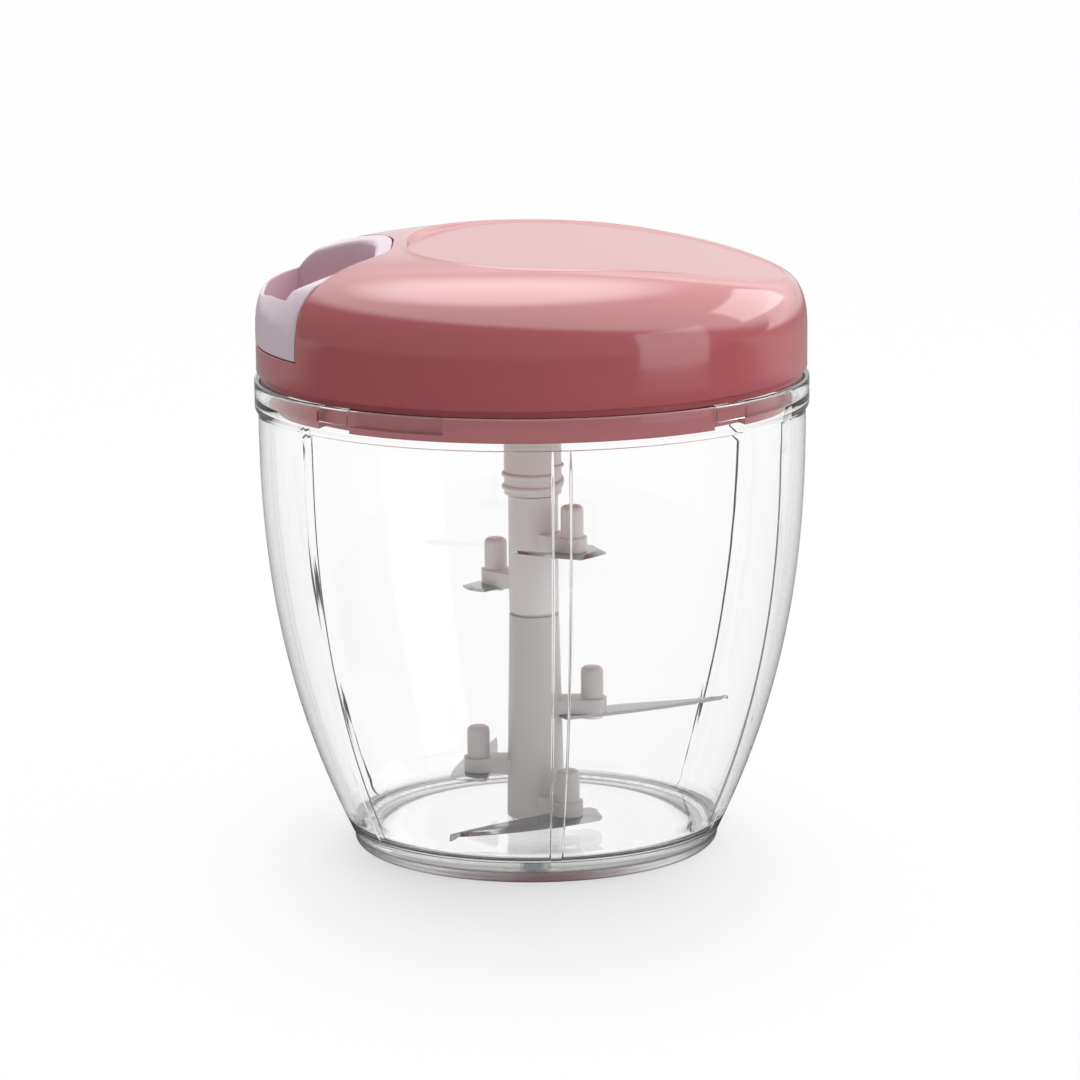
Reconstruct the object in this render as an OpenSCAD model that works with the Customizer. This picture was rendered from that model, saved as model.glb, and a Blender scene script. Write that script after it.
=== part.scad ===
// Pull-string food chopper: clear bowl, lid with a cord reel, five-blade shaft.
// Millimetres, +Z up, the bowl stands on Z = 0 and the handle is pulled along -X.

/* [Bowl] */
// Height of the bowl to the top of its rim
bowl_height = 112; // [100:1:130]
// Outer radius of the rim band
rim_radius = 65; // [62:0.5:75]
// Height of the rim band
rim_height = 7.4; // [6.6:0.1:9]
// Step from the rim band in to the wall below it
rim_step = 0.8; // [0.4:0.1:1.5]
// Outer radius of the foot
foot_radius = 43.3; // [40:0.1:48]
// Height of the straight foot
foot_height = 2; // [1.4:0.1:3]
// Width of the ring that the bowl stands on
foot_width = 4; // [3:0.1:6]
// How sharply the wall curves in towards the foot
wall_curve = 2.4; // [2.1:0.1:2.8]
// Thickness of the bowl's wall
bowl_wall = 2.4; // [2:0.1:3]
// Thickness of the bowl's floor
bowl_floor = 3.2; // [2.4:0.1:4]
// Radius inside the corner between floor and wall
floor_fillet = 4; // [2:0.1:6]
// Number of upright ribs inside the wall
rib_count = 6; // [4:2:10]
// Width of a rib
rib_width = 2.3; // [1.6:0.1:3.5]
// How far a rib stands out from the wall
rib_depth = 1; // [0.6:0.1:2.4]
// Angle of the first rib from +X
rib_angle = 36; // [0:1:60]
// Length of the rib that fades out below the rim band
rib_fade = 6; // [3:0.5:12]

/* [Lid lock] */
// Number of locking lugs under the rim
lug_count = 4; // [3:1:5]
// Angle of the first lug from +X
lug_angle = 45; // [30:1:60]
// Width of a lug along the rim
lug_width = 9; // [6:0.5:12]
// Height of a lug
lug_height = 2.4; // [1.6:0.1:2.6]
// How far a lug stands in from the rim
lug_depth = 2; // [1.6:0.1:2.4]
// Turn of the lid from open to locked
lock_angle = 22; // [15:1:26]
// Depth of the skirt below the rim
skirt_depth = 5.8; // [5.6:0.1:6.4]
// Thickness of the skirt
skirt_wall = 2.8; // [2.6:0.1:3.4]
// Thickness of the lip under a locking slot
slot_lip = 1.4; // [1:0.1:1.6]
// Clearance round a lug in its slot
slot_gap = 0.4; // [0.3:0.05:0.5]
// Clearance between the skirt and the rim
skirt_gap = 0.8; // [0.5:0.1:1]

/* [Lid] */
// How far the lid's side lies in from the rim band
lid_inset = 0.5; // [0:0.1:1.5]
// Thickness of the lid's shell
lid_wall = 2.4; // [2:0.1:3]
// Height of the lid's straight side above the bowl's rim
lid_side = 9.5; // [9:0.5:12]
// Height of the lid's shoulder above the straight side
lid_shoulder = 23; // [21:0.5:26]
// How square the shoulder is
shoulder_power = 3.15; // [2.8:0.05:3.4]
// Bevel on the lid's lower edge
lid_bevel = 0.6; // [0.3:0.1:1]
// Depth by which the flat crown cuts the shoulder
crown_cut = 1.3; // [0.8:0.1:2]
// Radius of the flat crown from end to end
crown_radius = 300; // [280:5:500]
// Distance of the crown's highest line from the axis, towards the handle
crown_shift = 12; // [8:1:14]
// Thickness of the lid base's flange on the rim
flange_height = 1.4; // [1:0.1:2]
// How far the flange lies in from the lid's side
flange_inset = 1.1; // [0.8:0.1:1.2]
// Thickness of the lid base's plate
plate_height = 3; // [2.6:0.1:4]
// End of the sunk panel towards the handle
panel_left = 29; // [26:0.5:29.5]
// End of the sunk panel away from the handle
panel_right = 59.5; // [52:0.5:60]
// Half of the sunk panel's width
panel_half = 41.7; // [36:0.1:44]
// How much blunter the panel is towards the handle
panel_skew = 0.22; // [0.1:0.01:0.3]
// Depth of the panel at the crown's highest line
panel_depth = 0.9; // [0.6:0.1:1.6]
// Radius of the panel from end to end
panel_radius = 320; // [300:5:520]
// Distance of the panel's highest line from the axis, towards the handle
panel_shift = 8; // [4:1:10]
// Radius of the circle of lid screws
lid_screw_circle = 50; // [47:0.5:52]
// Angle of the lid screws away from the handle, from +X
lid_screw_front_angle = 50; // [40:1:60]
// Angle of the lid screws beside the handle, from +X
lid_screw_rear_angle = 115; // [105:1:118]

/* [Handle] */
// Distance of the handle's inner end from the axis
handle_inner = 32.4; // [32:0.1:34]
// Half of the straight part of the inner end
handle_end = 16; // [13:0.5:18]
// Corner radius of the inner end
handle_corner = 16; // [14:0.5:18]
// Spread of the handle's sides from the pull direction
handle_spread_angle = 26; // [22:1:30]
// Height of the handle's lower edge above the rim
handle_low = 8.6; // [8:0.1:10]
// Radius of the handle's top, which falls away from the crown
handle_fall = 120; // [110:5:160]
// How square the handle's shoulder is
handle_power = 3.35; // [3.15:0.05:3.6]
// Width of the handle's inner border
handle_border = 4; // [3.6:0.1:5]
// Half of the straight part of the opening's inner end
opening_end = 10; // [7:0.5:11]
// Corner radius of the opening
opening_corner = 18; // [15:0.5:18]
// Spread of the opening's sides from the pull direction
opening_spread_angle = 8; // [4:1:12]
// Thickness of the handle's outer bar
handle_bar = 2.4; // [2.2:0.1:3.6]

/* [Reel] */
// Radius of the reel's drum
drum_radius = 21; // [20:0.1:21.5]
// Height of the drum between its flanges
drum_height = 9; // [8:0.1:10]
// Thickness of the drum's wall
drum_wall = 1.8; // [1.4:0.1:2.2]
// Radius of the reel's flanges
reel_radius = 27; // [26.6:0.1:27.8]
// Thickness of the reel's flanges
reel_flange = 1.6; // [1.2:0.1:2]
// Gap between the lid base and the reel
reel_lift = 3.4; // [3:0.1:4]
// Radius of the reel's hub in its bush
hub_radius = 8; // [7.4:0.1:8.6]
// Radius of the axle pin
axle_radius = 2.5; // [2:0.1:3]
// Wall round the axle pin
axle_wall = 2.5; // [2:0.1:3]
// Wall of the spring's arbor
arbor_wall = 2.5; // [2:0.1:3]
// Number of turns in the rewind spring
spring_turns = 6; // [4:1:7]
// Thickness of the spring's strip
spring_strip = 0.4; // [0.3:0.05:0.5]
// Wall of the bearing bush
bush_wall = 2; // [1.6:0.1:2.6]

/* [Cord] */
// Diameter of the cord
cord_diameter = 1.6; // [1.2:0.1:1.8]
// Wall of the eyelet
eyelet_wall = 0.7; // [0.5:0.1:1]
// Radius of the cord's stopper
stopper_radius = 2; // [1.8:0.1:2.4]
// Length of the cord's stopper
stopper_length = 2.2; // [1.8:0.1:2.4]

/* [Shaft] */
// Radius of the pivot pin
pivot_radius = 3; // [2.4:0.1:3.4]
// Height of the pivot pin above the floor
pivot_height = 15; // [12:0.5:20]
// Depth of the joint between the two shafts below the rim
joint_drop = 57.7; // [54:0.1:60]
// Bevel on the upper shaft where it meets the lower one
joint_bevel = 0.9; // [0.4:0.1:1.2]
// Radius of the shafts
shaft_radius = 5.9; // [5.6:0.1:6.4]
// Extra radius of the lower shaft at its foot
shaft_taper = 1; // [0.4:0.1:1.4]
// Depth of the drive sleeve's lower end below the rim
sleeve_drop = 28.7; // [26:0.1:30]
// Outer radius of the drive sleeve
sleeve_radius = 6.8; // [6.6:0.1:7.2]
// Radius of the sleeve's socket
socket_radius = 4.8; // [4.6:0.1:5]
// Length of the drive tang
tang_length = 16; // [12:0.5:17]
// Thickness of the tang and of the dogs that drive it
tang_width = 2.2; // [1.8:0.1:2.6]
// Corner radius of the six-sided plug between the shafts
plug_radius = 4.05; // [3.6:0.05:4.2]
// Length of the plug
plug_length = 10; // [8:0.5:12]
// Radius of the two beads on the sleeve
bead_radius = 0.6; // [0.4:0.1:0.8]

/* [Blades] */
// Height of the arms
arm_height = 3.4; // [3:0.1:4.5]
// Width of the arms
arm_width = 7; // [6:0.1:8]
// Radius of the upright pegs
peg_radius = 2.7; // [2.2:0.1:3]
// Height of the pegs above their arms
peg_height = 7.5; // [6.5:0.1:9]
// Rounding of a peg's upper edge
peg_edge = 1.2; // [0.6:0.1:1.8]
// Thickness of the blades
blade_thickness = 0.8; // [0.6:0.1:1.2]
// Bulge of a blade's cutting edge
blade_belly = 6.5; // [5.5:0.1:7.5]
// Bulge of a blade's back
blade_back = 3; // [2.4:0.1:4]
// Length of a blade's heel past its peg
blade_heel = 8; // [7:0.1:9]
// Radius of the rivets
rivet_radius = 1.5; // [1.2:0.1:1.8]
// Distance of the lower pegs from the axis
lower_reach = 13.6; // [13:0.1:14.5]
// Distance of the upper pegs from the axis
upper_reach = 12.4; // [12:0.1:13.5]
// Height of the lowest arm
arm_1_height = 8.2; // [8:0.1:9.5]
// Height of the second arm
arm_2_height = 16.1; // [14:0.1:17]
// Height of the third arm
arm_3_height = 30.5; // [28:0.1:33]
// Depth of the fourth arm below the rim
arm_4_drop = 52; // [50:0.1:54]
// Depth of the fifth arm below the rim
arm_5_drop = 41; // [39.5:0.1:42]

/* [Fits] */
// Radial clearance where a piece turns on another
run_fit = 0.04; // [0.02:0.01:0.08]
// Clearance where a piece plugs into another
slip_fit = 0.15; // [0.1:0.05:0.25]
// Gap between neighbouring pieces that don't touch
part_gap = 0.35; // [0.3:0.05:0.5]

/* [Hidden] */
$fn = 72;
fine = 720;

// Colours
clear_tint = [0.86, 0.9, 0.92, 0.35];
pink = [0.84, 0.5, 0.53];
pale_pink = [0.92, 0.85, 0.88];
shaft_white = [0.9, 0.89, 0.87];
reel_white = [0.93, 0.93, 0.9];
steel = [0.75, 0.76, 0.78];
brass = [0.8, 0.66, 0.35];
cord_white = [0.95, 0.94, 0.9];

// Directions and lengths of the five blades: arm angle, sweep from the arm, length, rise of the tip
blade_1_angle = -56;
blade_1_sweep_angle = -93;
blade_1_length = 32;
blade_2_angle = 178;
blade_2_sweep_angle = -95;
blade_2_length = 32;
blade_3_angle = -2;
blade_3_sweep_angle = 24;
blade_3_length = 36;
blade_4_angle = 137;
blade_4_sweep_angle = -87;
blade_4_length = 24;
blade_5_angle = -43;
blade_5_sweep_angle = -87;
blade_5_length = 21;
flat_angle = 0;
lift_angle = 12;

// Bowl
overlap = 1;
outline_steps = 20;
fillet_step_angle = 15;
corner_facets = 32;
peg_step = 15;
floor_z = foot_height + bowl_floor;
wall_top_z = bowl_height - rim_height;
wall_radius = rim_radius - rim_step;
rim_inner = rim_radius - bowl_wall;
boss_radius = pivot_radius + bowl_wall;
boss_low = foot_height / 4;
pin_low = foot_height / 2;
pin_high = floor_z + pivot_height;

// Lock
skirt_low = bowl_height - skirt_depth;
skirt_radius = rim_inner - skirt_gap;
lug_low = skirt_low + slot_lip + slot_gap;
lug_half_angle = lug_width / 2 / rim_inner * 180 / PI;
slot_angle = slot_gap / rim_inner * 180 / PI;

// Lid
lid_radius = rim_radius - lid_inset;
flange_top = bowl_height + flange_height;
plate_top = bowl_height + plate_height;
plate_radius = lid_radius - lid_wall - part_gap;
shoulder_z = bowl_height + lid_side;
crown_z = shoulder_z + lid_shoulder - crown_cut;
panel_z = crown_z - panel_depth;
panel_middle = (panel_right - panel_left) / 2;
panel_long = (panel_right + panel_left) / 2;
panel_blunt = 0.85;
dome_step_angle = 5;
egg_step_angle = 7.5;
screw_radius = 1.5;
screw_head_radius = 3;
screw_head_height = 1.7;
screw_length = 12;
screw_wall = 2.5;
lid_screw_angles = [
    lid_screw_front_angle, -lid_screw_front_angle,
    lid_screw_rear_angle, -lid_screw_rear_angle
];

// Handle and its dock
handle_bottom = bowl_height + handle_low;
dock_floor = handle_bottom - part_gap;
dock_wall = 2;
dock_face = handle_inner - part_gap;
dock_inner = dock_face - dock_wall;
opening_inner = handle_inner + handle_border;
opening_middle = opening_inner + opening_corner;
bar_radius = lid_radius - handle_bar;

// Reel, from the lid base up
reel_low = plate_top + reel_lift;
cup_floor = reel_low + reel_flange;
drum_top = cup_floor + drum_height;
cup_radius = drum_radius - drum_wall;
axle_boss_radius = axle_radius + axle_wall;
arbor_bore = axle_boss_radius + part_gap;
arbor_radius = arbor_bore + arbor_wall;
arbor_low = cup_floor + part_gap;
axle_boss_top = cup_floor + drum_height / 2;
arbor_seat = axle_boss_top + part_gap;
axle_low = reel_low + reel_flange / 2;
axle_high = panel_z - lid_wall - overlap;
hub_low = bowl_height - plate_height;
cap_lip = 1.5;
bush_radius = hub_radius + run_fit + bush_wall;
bush_flange = reel_lift - part_gap;
spring_low = cup_floor + part_gap;
spring_high = drum_top - cap_lip - part_gap;
spring_inner = arbor_radius + spring_strip;
spring_outer = cup_radius - part_gap - spring_strip / 2;
spring_step_angle = 12;

// Cord
cord_radius = cord_diameter / 2;
cord_z = cup_floor + drum_height / 2;
wound_radius = drum_radius + cord_diameter;
lead_radius = wound_radius + cord_radius + part_gap;
eyelet_bore = cord_radius + part_gap;
eyelet_radius = eyelet_bore + eyelet_wall;
eyelet_flange = 0.8;
lead_thin = 0.05;
lead_bend = dock_inner - eyelet_flange - cord_radius;
lead_angle = acos(lead_radius / lead_bend);
lead_start = [-lead_radius * cos(lead_angle), lead_radius * sin(lead_angle)];
lead_run = lead_bend * sin(lead_angle);
stopper_seat = opening_inner - stopper_length + cord_radius;

// Shafts and drive
shaft_low = floor_z + part_gap;
shaft_foot = shaft_radius + shaft_taper;
joint_height = bowl_height - joint_drop;
sleeve_low = bowl_height - sleeve_drop;
arm_4_height = bowl_height - arm_4_drop;
arm_5_height = bowl_height - arm_5_drop;
sleeve_top = hub_low;
socket_top = sleeve_top - plate_height - overlap;
tenon_radius = hub_radius - bush_wall;
tenon_height = 3.5;
sleeve_screw_head = 2.6;
shaft_top = sleeve_low - part_gap;
tang_low = sleeve_low + overlap;
tang_core = socket_radius - tang_width - part_gap;
dog_inner = tang_core + part_gap;
tang_half = socket_radius - part_gap;
dog_length = tang_length - 2 * overlap;
bead_first = 1.7;
bead_second = 4.7;
rivet_flare = 1.1;
rivet_head_radius = rivet_radius + rivet_flare;
rivet_head_height = 0.7;
rivet_depth = arm_height - overlap;
bend_at = arm_width / 2 + overlap;

// Radius of the bowl's outside at a height
function wall_at(z) =
    wall_radius - (wall_radius - foot_radius)
    * pow(1 - (z - foot_height) / (wall_top_z - foot_height), wall_curve);

// Points up the bowl's wall, moved in by a distance, between two heights
function wall_points(inset, low, high) =
    [for (i = [0 : outline_steps]) let (z = low + (high - low) * i / outline_steps) [wall_at(z) - inset, z]];

// Points of an outline in the opposite order
function reversed(points) = [for (i = [len(points) - 1 : -1 : 0]) points[i]];

// Arc from the bowl's floor up into its wall
function fillet_points() =
    let (z = floor_z + floor_fillet, r = wall_at(z) - bowl_wall)
    [for (a = [90 : -fillet_step_angle : fillet_step_angle])
        [r - floor_fillet * (1 - cos(a)), z - floor_fillet * sin(a)]];

// Points over a shoulder, from the side to the axis
function dome_points(radius, low, height, power) =
    [for (a = [0 : dome_step_angle : 90])
        [radius * pow(cos(a), 2 / power), low + height * pow(sin(a), 2 / power)]];

// Point of the panel's edge at an angle round its middle
function egg_point(a) =
    let (s = sin(a), w = panel_half * pow(abs(s), panel_blunt) * (1 - panel_skew * cos(a)))
    [panel_middle + panel_long * cos(a), s < 0 ? -w : w];

// Outline of the panel
function egg_points() = [for (a = [0 : egg_step_angle : 360 - egg_step_angle]) egg_point(a)];

// Points of the rewind spring, wound from the arbor out to the drum
function spring_points(side) =
    [for (a = [0 : spring_step_angle : spring_turns * 360])
        let (middle = spring_inner + (spring_outer - spring_inner) * a / (spring_turns * 360))
        let (r = middle + side * spring_strip / 2)
        [r * cos(a), r * sin(a)]];

// Ring of revolution between two radii and two heights
module ring(inner, outer, low, high) {
    rotate_extrude()
        translate([inner, low])
            square([outer - inner, high - low]);
}

// Part of a ring round an angle
module ring_part(inner, outer, low, high, from_turn, to_turn) {
    rotate([0, 0, from_turn])
        rotate_extrude(angle = to_turn - from_turn)
            translate([inner, low])
                square([outer - inner, high - low]);
}

// Upright cylinder between two heights
module post(radius, low, high) {
    translate([0, 0, low])
        cylinder(r = radius, h = high - low);
}

// Cylinder along -X between two distances from the axis
module rod_along_x(radius, near, far) {
    translate([-near, 0, cord_z])
        rotate([0, -90, 0])
            cylinder(r = radius, h = far - near);
}

// Bowl wall, floor, foot and rim as one turned shape
module bowl_shell() {
    foot_inner = foot_radius - foot_width;
    rotate_extrude()
        polygon(concat(
            [[0, foot_height], [foot_inner - foot_height, foot_height], [foot_inner, 0], [foot_radius, 0]],
            wall_points(0, foot_height, wall_top_z),
            [[rim_radius, wall_top_z + rim_step], [rim_radius, bowl_height], [rim_inner, bowl_height]],
            [[rim_inner, wall_top_z + rim_step]],
            reversed(wall_points(bowl_wall, floor_z + floor_fillet, wall_top_z)),
            reversed(fillet_points()),
            [[0, floor_z]]
        ));
}

// Ribs on the inside of the wall, cut from one turned band by upright slabs
module bowl_ribs() {
    low = floor_z - bowl_floor / 2;
    high = wall_top_z - overlap;
    inner = bowl_wall + rib_depth;
    intersection() {
        rotate_extrude()
            polygon(concat(
                wall_points(bowl_wall / 2, low, high),
                reversed(wall_points(inner, low, high - rib_fade))
            ));
        for (i = [0 : rib_count / 2 - 1])
            rotate([0, 0, rib_angle + i * 360 / rib_count])
                translate([-rim_radius, -rib_width / 2, 0])
                    cube([2 * rim_radius, rib_width, bowl_height]);
    }
}

// Locking lugs under the rim
module bowl_lugs() {
    for (i = [0 : lug_count - 1])
        let (turn = lug_angle + i * 360 / lug_count)
        ring_part(rim_inner - lug_depth, rim_inner + overlap, lug_low, lug_low + lug_height,
            turn - lug_half_angle, turn + lug_half_angle);
}

module bowl() {
    color(clear_tint)
        difference() {
            union() {
                bowl_shell();
                bowl_ribs();
                bowl_lugs();
                post(boss_radius, boss_low, foot_height + overlap);
            }
            post(pivot_radius, pin_low, floor_z + overlap);
        }
}

module pivot_pin() {
    color(steel) post(pivot_radius, pin_low, pin_high);
}

// Turns its children to an arm and lifts them to its height
module at_arm(turn, height) {
    translate([0, 0, height])
        rotate([0, 0, turn])
            children();
}

// Upright peg with a rounded upper edge
module peg(top) {
    rotate_extrude()
        polygon(concat(
            [[0, 0], [peg_radius, 0]],
            [for (a = [0 : peg_step : 90]) [
                peg_radius - peg_edge * (1 - cos(a)),
                top - peg_edge * (1 - sin(a))
            ]],
            [[0, top]]
        ));
}

// Arm with its upright peg and the hole for its rivet
module arm(reach) {
    difference() {
        union() {
            translate([0, -arm_width / 2, 0])
                cube([reach, arm_width, arm_height]);
            translate([reach, 0, 0])
                cylinder(d = arm_width, h = arm_height);
            translate([reach, 0, 0])
                peg(arm_height + peg_height);
        }
        translate([reach, 0, -overlap])
            cylinder(r = rivet_radius, h = rivet_depth + overlap);
    }
}

// Rivet under an arm, with its head below the blade
module rivet(reach) {
    translate([reach, 0, -blade_thickness])
        cylinder(r = rivet_radius, h = blade_thickness + rivet_depth);
    translate([reach, 0, -blade_thickness - rivet_head_height])
        cylinder(r = rivet_head_radius, h = rivet_head_height);
}

// Lens between a cutting edge and a back that meet at the tip
module blade_lens(length) {
    edge_radius = (length * length + blade_belly * blade_belly) / (2 * blade_belly);
    back_radius = (length * length + blade_back * blade_back) / (2 * blade_back);
    intersection() {
        translate([0, blade_belly - edge_radius])
            circle(r = edge_radius, $fn = fine);
        translate([0, back_radius - blade_back])
            circle(r = back_radius, $fn = fine);
    }
}

// Flat outline of a blade with its rivet at the origin and its tip along +X
module blade_outline(length) {
    difference() {
        union() {
            intersection() {
                blade_lens(length);
                translate([0, -length])
                    square([2 * length, 2 * length]);
            }
            intersection() {
                blade_lens(length);
                circle(r = blade_heel);
            }
        }
        circle(r = rivet_radius);
    }
}

// Strip that is flat under the arm and rises at an angle beyond it
module bent_strip(length, rise) {
    far = 2 * length;
    high = (far - bend_at) * tan(rise);
    rotate([90, 0, 0])
        linear_extrude(far, center = true)
            polygon([
                [-length, 0], [bend_at, 0], [far, high],
                [far, high + blade_thickness], [bend_at, blade_thickness], [-length, blade_thickness]
            ]);
}

// Blade whose part beyond the arm is bent up by an angle
module bent_blade(length, rise) {
    intersection() {
        bent_strip(length, rise);
        translate([0, 0, -overlap])
            linear_extrude(length)
                blade_outline(length);
    }
}

// Blade under an arm, clear of the shaft
module blade(reach, sweep, length, rise) {
    difference() {
        translate([reach, 0, -blade_thickness])
            rotate([0, 0, sweep])
                if (rise > 0)
                    bent_blade(length, rise);
                else
                    linear_extrude(blade_thickness)
                        blade_outline(length);
        post(shaft_foot + part_gap, -length, length);
    }
}

module lower_shaft() {
    color(shaft_white)
        difference() {
            union() {
                translate([0, 0, shaft_low])
                    cylinder(r1 = shaft_foot, r2 = shaft_radius, h = joint_height - shaft_low);
                at_arm(blade_1_angle, arm_1_height) arm(lower_reach);
                at_arm(blade_2_angle, arm_2_height) arm(lower_reach);
                at_arm(blade_3_angle, arm_3_height) arm(lower_reach);
            }
            post(pivot_radius + run_fit, shaft_low - overlap, pin_high + part_gap);
            translate([0, 0, joint_height - plug_length - part_gap])
                cylinder(r = plug_radius + slip_fit, h = plug_length + part_gap + overlap, $fn = 6);
        }
}

module upper_shaft() {
    color(shaft_white)
        union() {
            rotate_extrude()
                polygon([
                    [0, joint_height], [shaft_radius - joint_bevel, joint_height],
                    [shaft_radius, joint_height + joint_bevel], [shaft_radius, shaft_top], [0, shaft_top]
                ]);
            translate([0, 0, joint_height - plug_length])
                cylinder(r = plug_radius, h = plug_length + overlap, $fn = 6);
            post(tang_core, shaft_top - overlap, tang_low + tang_length);
            translate([-tang_half, -tang_width / 2, tang_low])
                cube([2 * tang_half, tang_width, tang_length]);
            at_arm(blade_4_angle, arm_4_height) arm(upper_reach);
            at_arm(blade_5_angle, arm_5_height) arm(upper_reach);
        }
}

module lower_rivets() {
    color(steel) {
        at_arm(blade_1_angle, arm_1_height) rivet(lower_reach);
        at_arm(blade_2_angle, arm_2_height) rivet(lower_reach);
        at_arm(blade_3_angle, arm_3_height) rivet(lower_reach);
    }
}

module upper_rivets() {
    color(steel) {
        at_arm(blade_4_angle, arm_4_height) rivet(upper_reach);
        at_arm(blade_5_angle, arm_5_height) rivet(upper_reach);
    }
}

module blade_1() {
    color(steel)
        at_arm(blade_1_angle, arm_1_height)
            blade(lower_reach, blade_1_sweep_angle, blade_1_length, flat_angle);
}

module blade_2() {
    color(steel)
        at_arm(blade_2_angle, arm_2_height)
            blade(lower_reach, blade_2_sweep_angle, blade_2_length, flat_angle);
}

module blade_3() {
    color(steel)
        at_arm(blade_3_angle, arm_3_height)
            blade(lower_reach, blade_3_sweep_angle, blade_3_length, flat_angle);
}

module blade_4() {
    color(steel)
        at_arm(blade_4_angle, arm_4_height)
            blade(upper_reach, blade_4_sweep_angle, blade_4_length, lift_angle);
}

module blade_5() {
    color(steel)
        at_arm(blade_5_angle, arm_5_height)
            blade(upper_reach, blade_5_sweep_angle, blade_5_length, lift_angle);
}

module axle_pin() {
    color(steel) post(axle_radius, axle_low, axle_high);
}

// Turned shape of the lid's side and shoulder, moved in by a distance
module lid_turned(inset, low, power) {
    rotate_extrude()
        polygon(concat(
            [[0, low], [lid_radius - lid_bevel - inset, low], [lid_radius - inset, low + lid_bevel]],
            dome_points(lid_radius - inset, shoulder_z, lid_shoulder - inset, power)
        ));
}

// Long drum across the lid whose top is a crown that curves from end to end
module crown(radius, shift, top) {
    half = lid_radius + overlap;
    translate([-shift, half, top - radius])
        rotate([90, 0, 0])
            cylinder(r = radius, h = 2 * half, $fn = fine);
}

// Outside of the lid before the panel and the dock are cut
module lid_outside() {
    intersection() {
        lid_turned(0, flange_top, shoulder_power);
        crown(crown_radius, crown_shift, crown_z);
    }
}

// Space inside the lid's shell
module lid_cavity() {
    intersection() {
        lid_turned(lid_wall, flange_top - overlap, shoulder_power);
        crown(panel_radius, panel_shift, panel_z - lid_wall);
    }
}

// What is cut away above the sunk panel
module panel_cut() {
    difference() {
        translate([0, 0, shoulder_z])
            linear_extrude(lid_shoulder + overlap)
                polygon(egg_points());
        crown(panel_radius, panel_shift, panel_z);
    }
}

// Plan of the handle, or of its dock when grown by a gap
module handle_plan(gap) {
    side = [-cos(handle_spread_angle), sin(handle_spread_angle)] * lid_radius;
    hull()
        for (s = [-1, 1])
            for (far = [0, 1])
                translate([-handle_inner - handle_corner + side[0] * far, s * (handle_end + side[1] * far)])
                    circle(r = handle_corner + gap, $fn = corner_facets);
}

// Plan of the finger opening
module opening_plan() {
    side = [-cos(opening_spread_angle), sin(opening_spread_angle)] * lid_radius;
    intersection() {
        hull()
            for (s = [-1, 1])
                for (far = [0, 1])
                    translate([side[0] * far - opening_middle, s * (opening_end + side[1] * far)])
                        circle(r = opening_corner, $fn = corner_facets);
        circle(r = bar_radius);
    }
}

// Puts its children at each lid screw
module at_lid_screws() {
    for (turn = lid_screw_angles)
        rotate([0, 0, turn])
            translate([lid_screw_circle, 0, 0])
                children();
}

module lid_cover() {
    color(pink)
        difference() {
            lid_outside();
            panel_cut();
            difference() {
                lid_cavity();
                translate([0, 0, dock_floor - dock_wall])
                    linear_extrude(lid_shoulder * 2)
                        handle_plan(part_gap + dock_wall);
                post(arbor_radius, arbor_low, crown_z);
                at_lid_screws() post(screw_radius + screw_wall, plate_top, crown_z);
            }
            translate([0, 0, dock_floor])
                linear_extrude(lid_shoulder * 2)
                    handle_plan(part_gap);
            post(arbor_bore, arbor_low - overlap, arbor_seat);
            post(axle_radius + run_fit, arbor_seat - overlap, axle_high + part_gap);
            at_lid_screws() post(screw_radius, plate_top - overlap, plate_top + screw_length);
            rod_along_x(eyelet_radius, dock_inner - overlap, dock_face + overlap);
        }
}

// Notches and slots in the skirt, one for each lug
module skirt_slots() {
    inner = rim_inner - lug_depth - slot_gap;
    outer = skirt_radius + overlap;
    top = lug_low + lug_height + slot_gap;
    side = lug_half_angle + slot_angle;
    for (i = [0 : lug_count - 1])
        let (turn = lug_angle + i * 360 / lug_count) {
            ring_part(inner, outer, skirt_low - overlap, top, turn - side, turn + side);
            ring_part(inner, outer, skirt_low + slot_lip, top, turn - side, turn + side + lock_angle);
        }
}

module lid_base() {
    color(pink)
        difference() {
            union() {
                post(plate_radius, bowl_height, plate_top);
                post(lid_radius - flange_inset, bowl_height, flange_top);
                difference() {
                    ring(skirt_radius - skirt_wall, skirt_radius, skirt_low, bowl_height + overlap);
                    skirt_slots();
                }
            }
            post(bush_radius, bowl_height - overlap, plate_top + overlap);
            at_lid_screws() post(screw_radius + slip_fit, bowl_height - overlap, plate_top + overlap);
            at_lid_screws()
                post(screw_head_radius + slip_fit, bowl_height - overlap, bowl_height + screw_head_height);
        }
}

module lid_screws() {
    color(steel)
        at_lid_screws() {
            post(screw_head_radius, bowl_height, bowl_height + screw_head_height);
            post(screw_radius, bowl_height + screw_head_height, plate_top + screw_length - overlap);
        }
}

module bearing_bush() {
    color(reel_white)
        difference() {
            union() {
                post(bush_radius, bowl_height, plate_top);
                post(bush_radius + bush_wall, plate_top, plate_top + bush_flange);
            }
            post(hub_radius + run_fit, bowl_height - overlap, plate_top + bush_flange + overlap);
        }
}

module cord_eyelet() {
    color(brass)
        difference() {
            union() {
                rod_along_x(eyelet_radius, dock_inner, dock_face);
                rod_along_x(eyelet_radius + overlap, dock_inner - eyelet_flange, dock_inner);
            }
            rod_along_x(eyelet_bore, dock_inner - overlap * 2, dock_face + overlap);
        }
}

module cord_lead() {
    color(cord_white)
        union() {
            translate([lead_start[0], lead_start[1], cord_z])
                rotate([0, 0, -90 - lead_angle])
                    rotate([0, 90, 0])
                        cylinder(r = cord_radius - lead_thin, h = lead_run + cord_radius / 2);
            rod_along_x(cord_radius, lead_bend - cord_radius / 2, dock_face);
        }
}

module rewind_spring() {
    color(steel)
        translate([0, 0, spring_low])
            linear_extrude(spring_high - spring_low)
                polygon(concat(spring_points(-1), reversed(spring_points(1))));
}

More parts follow.
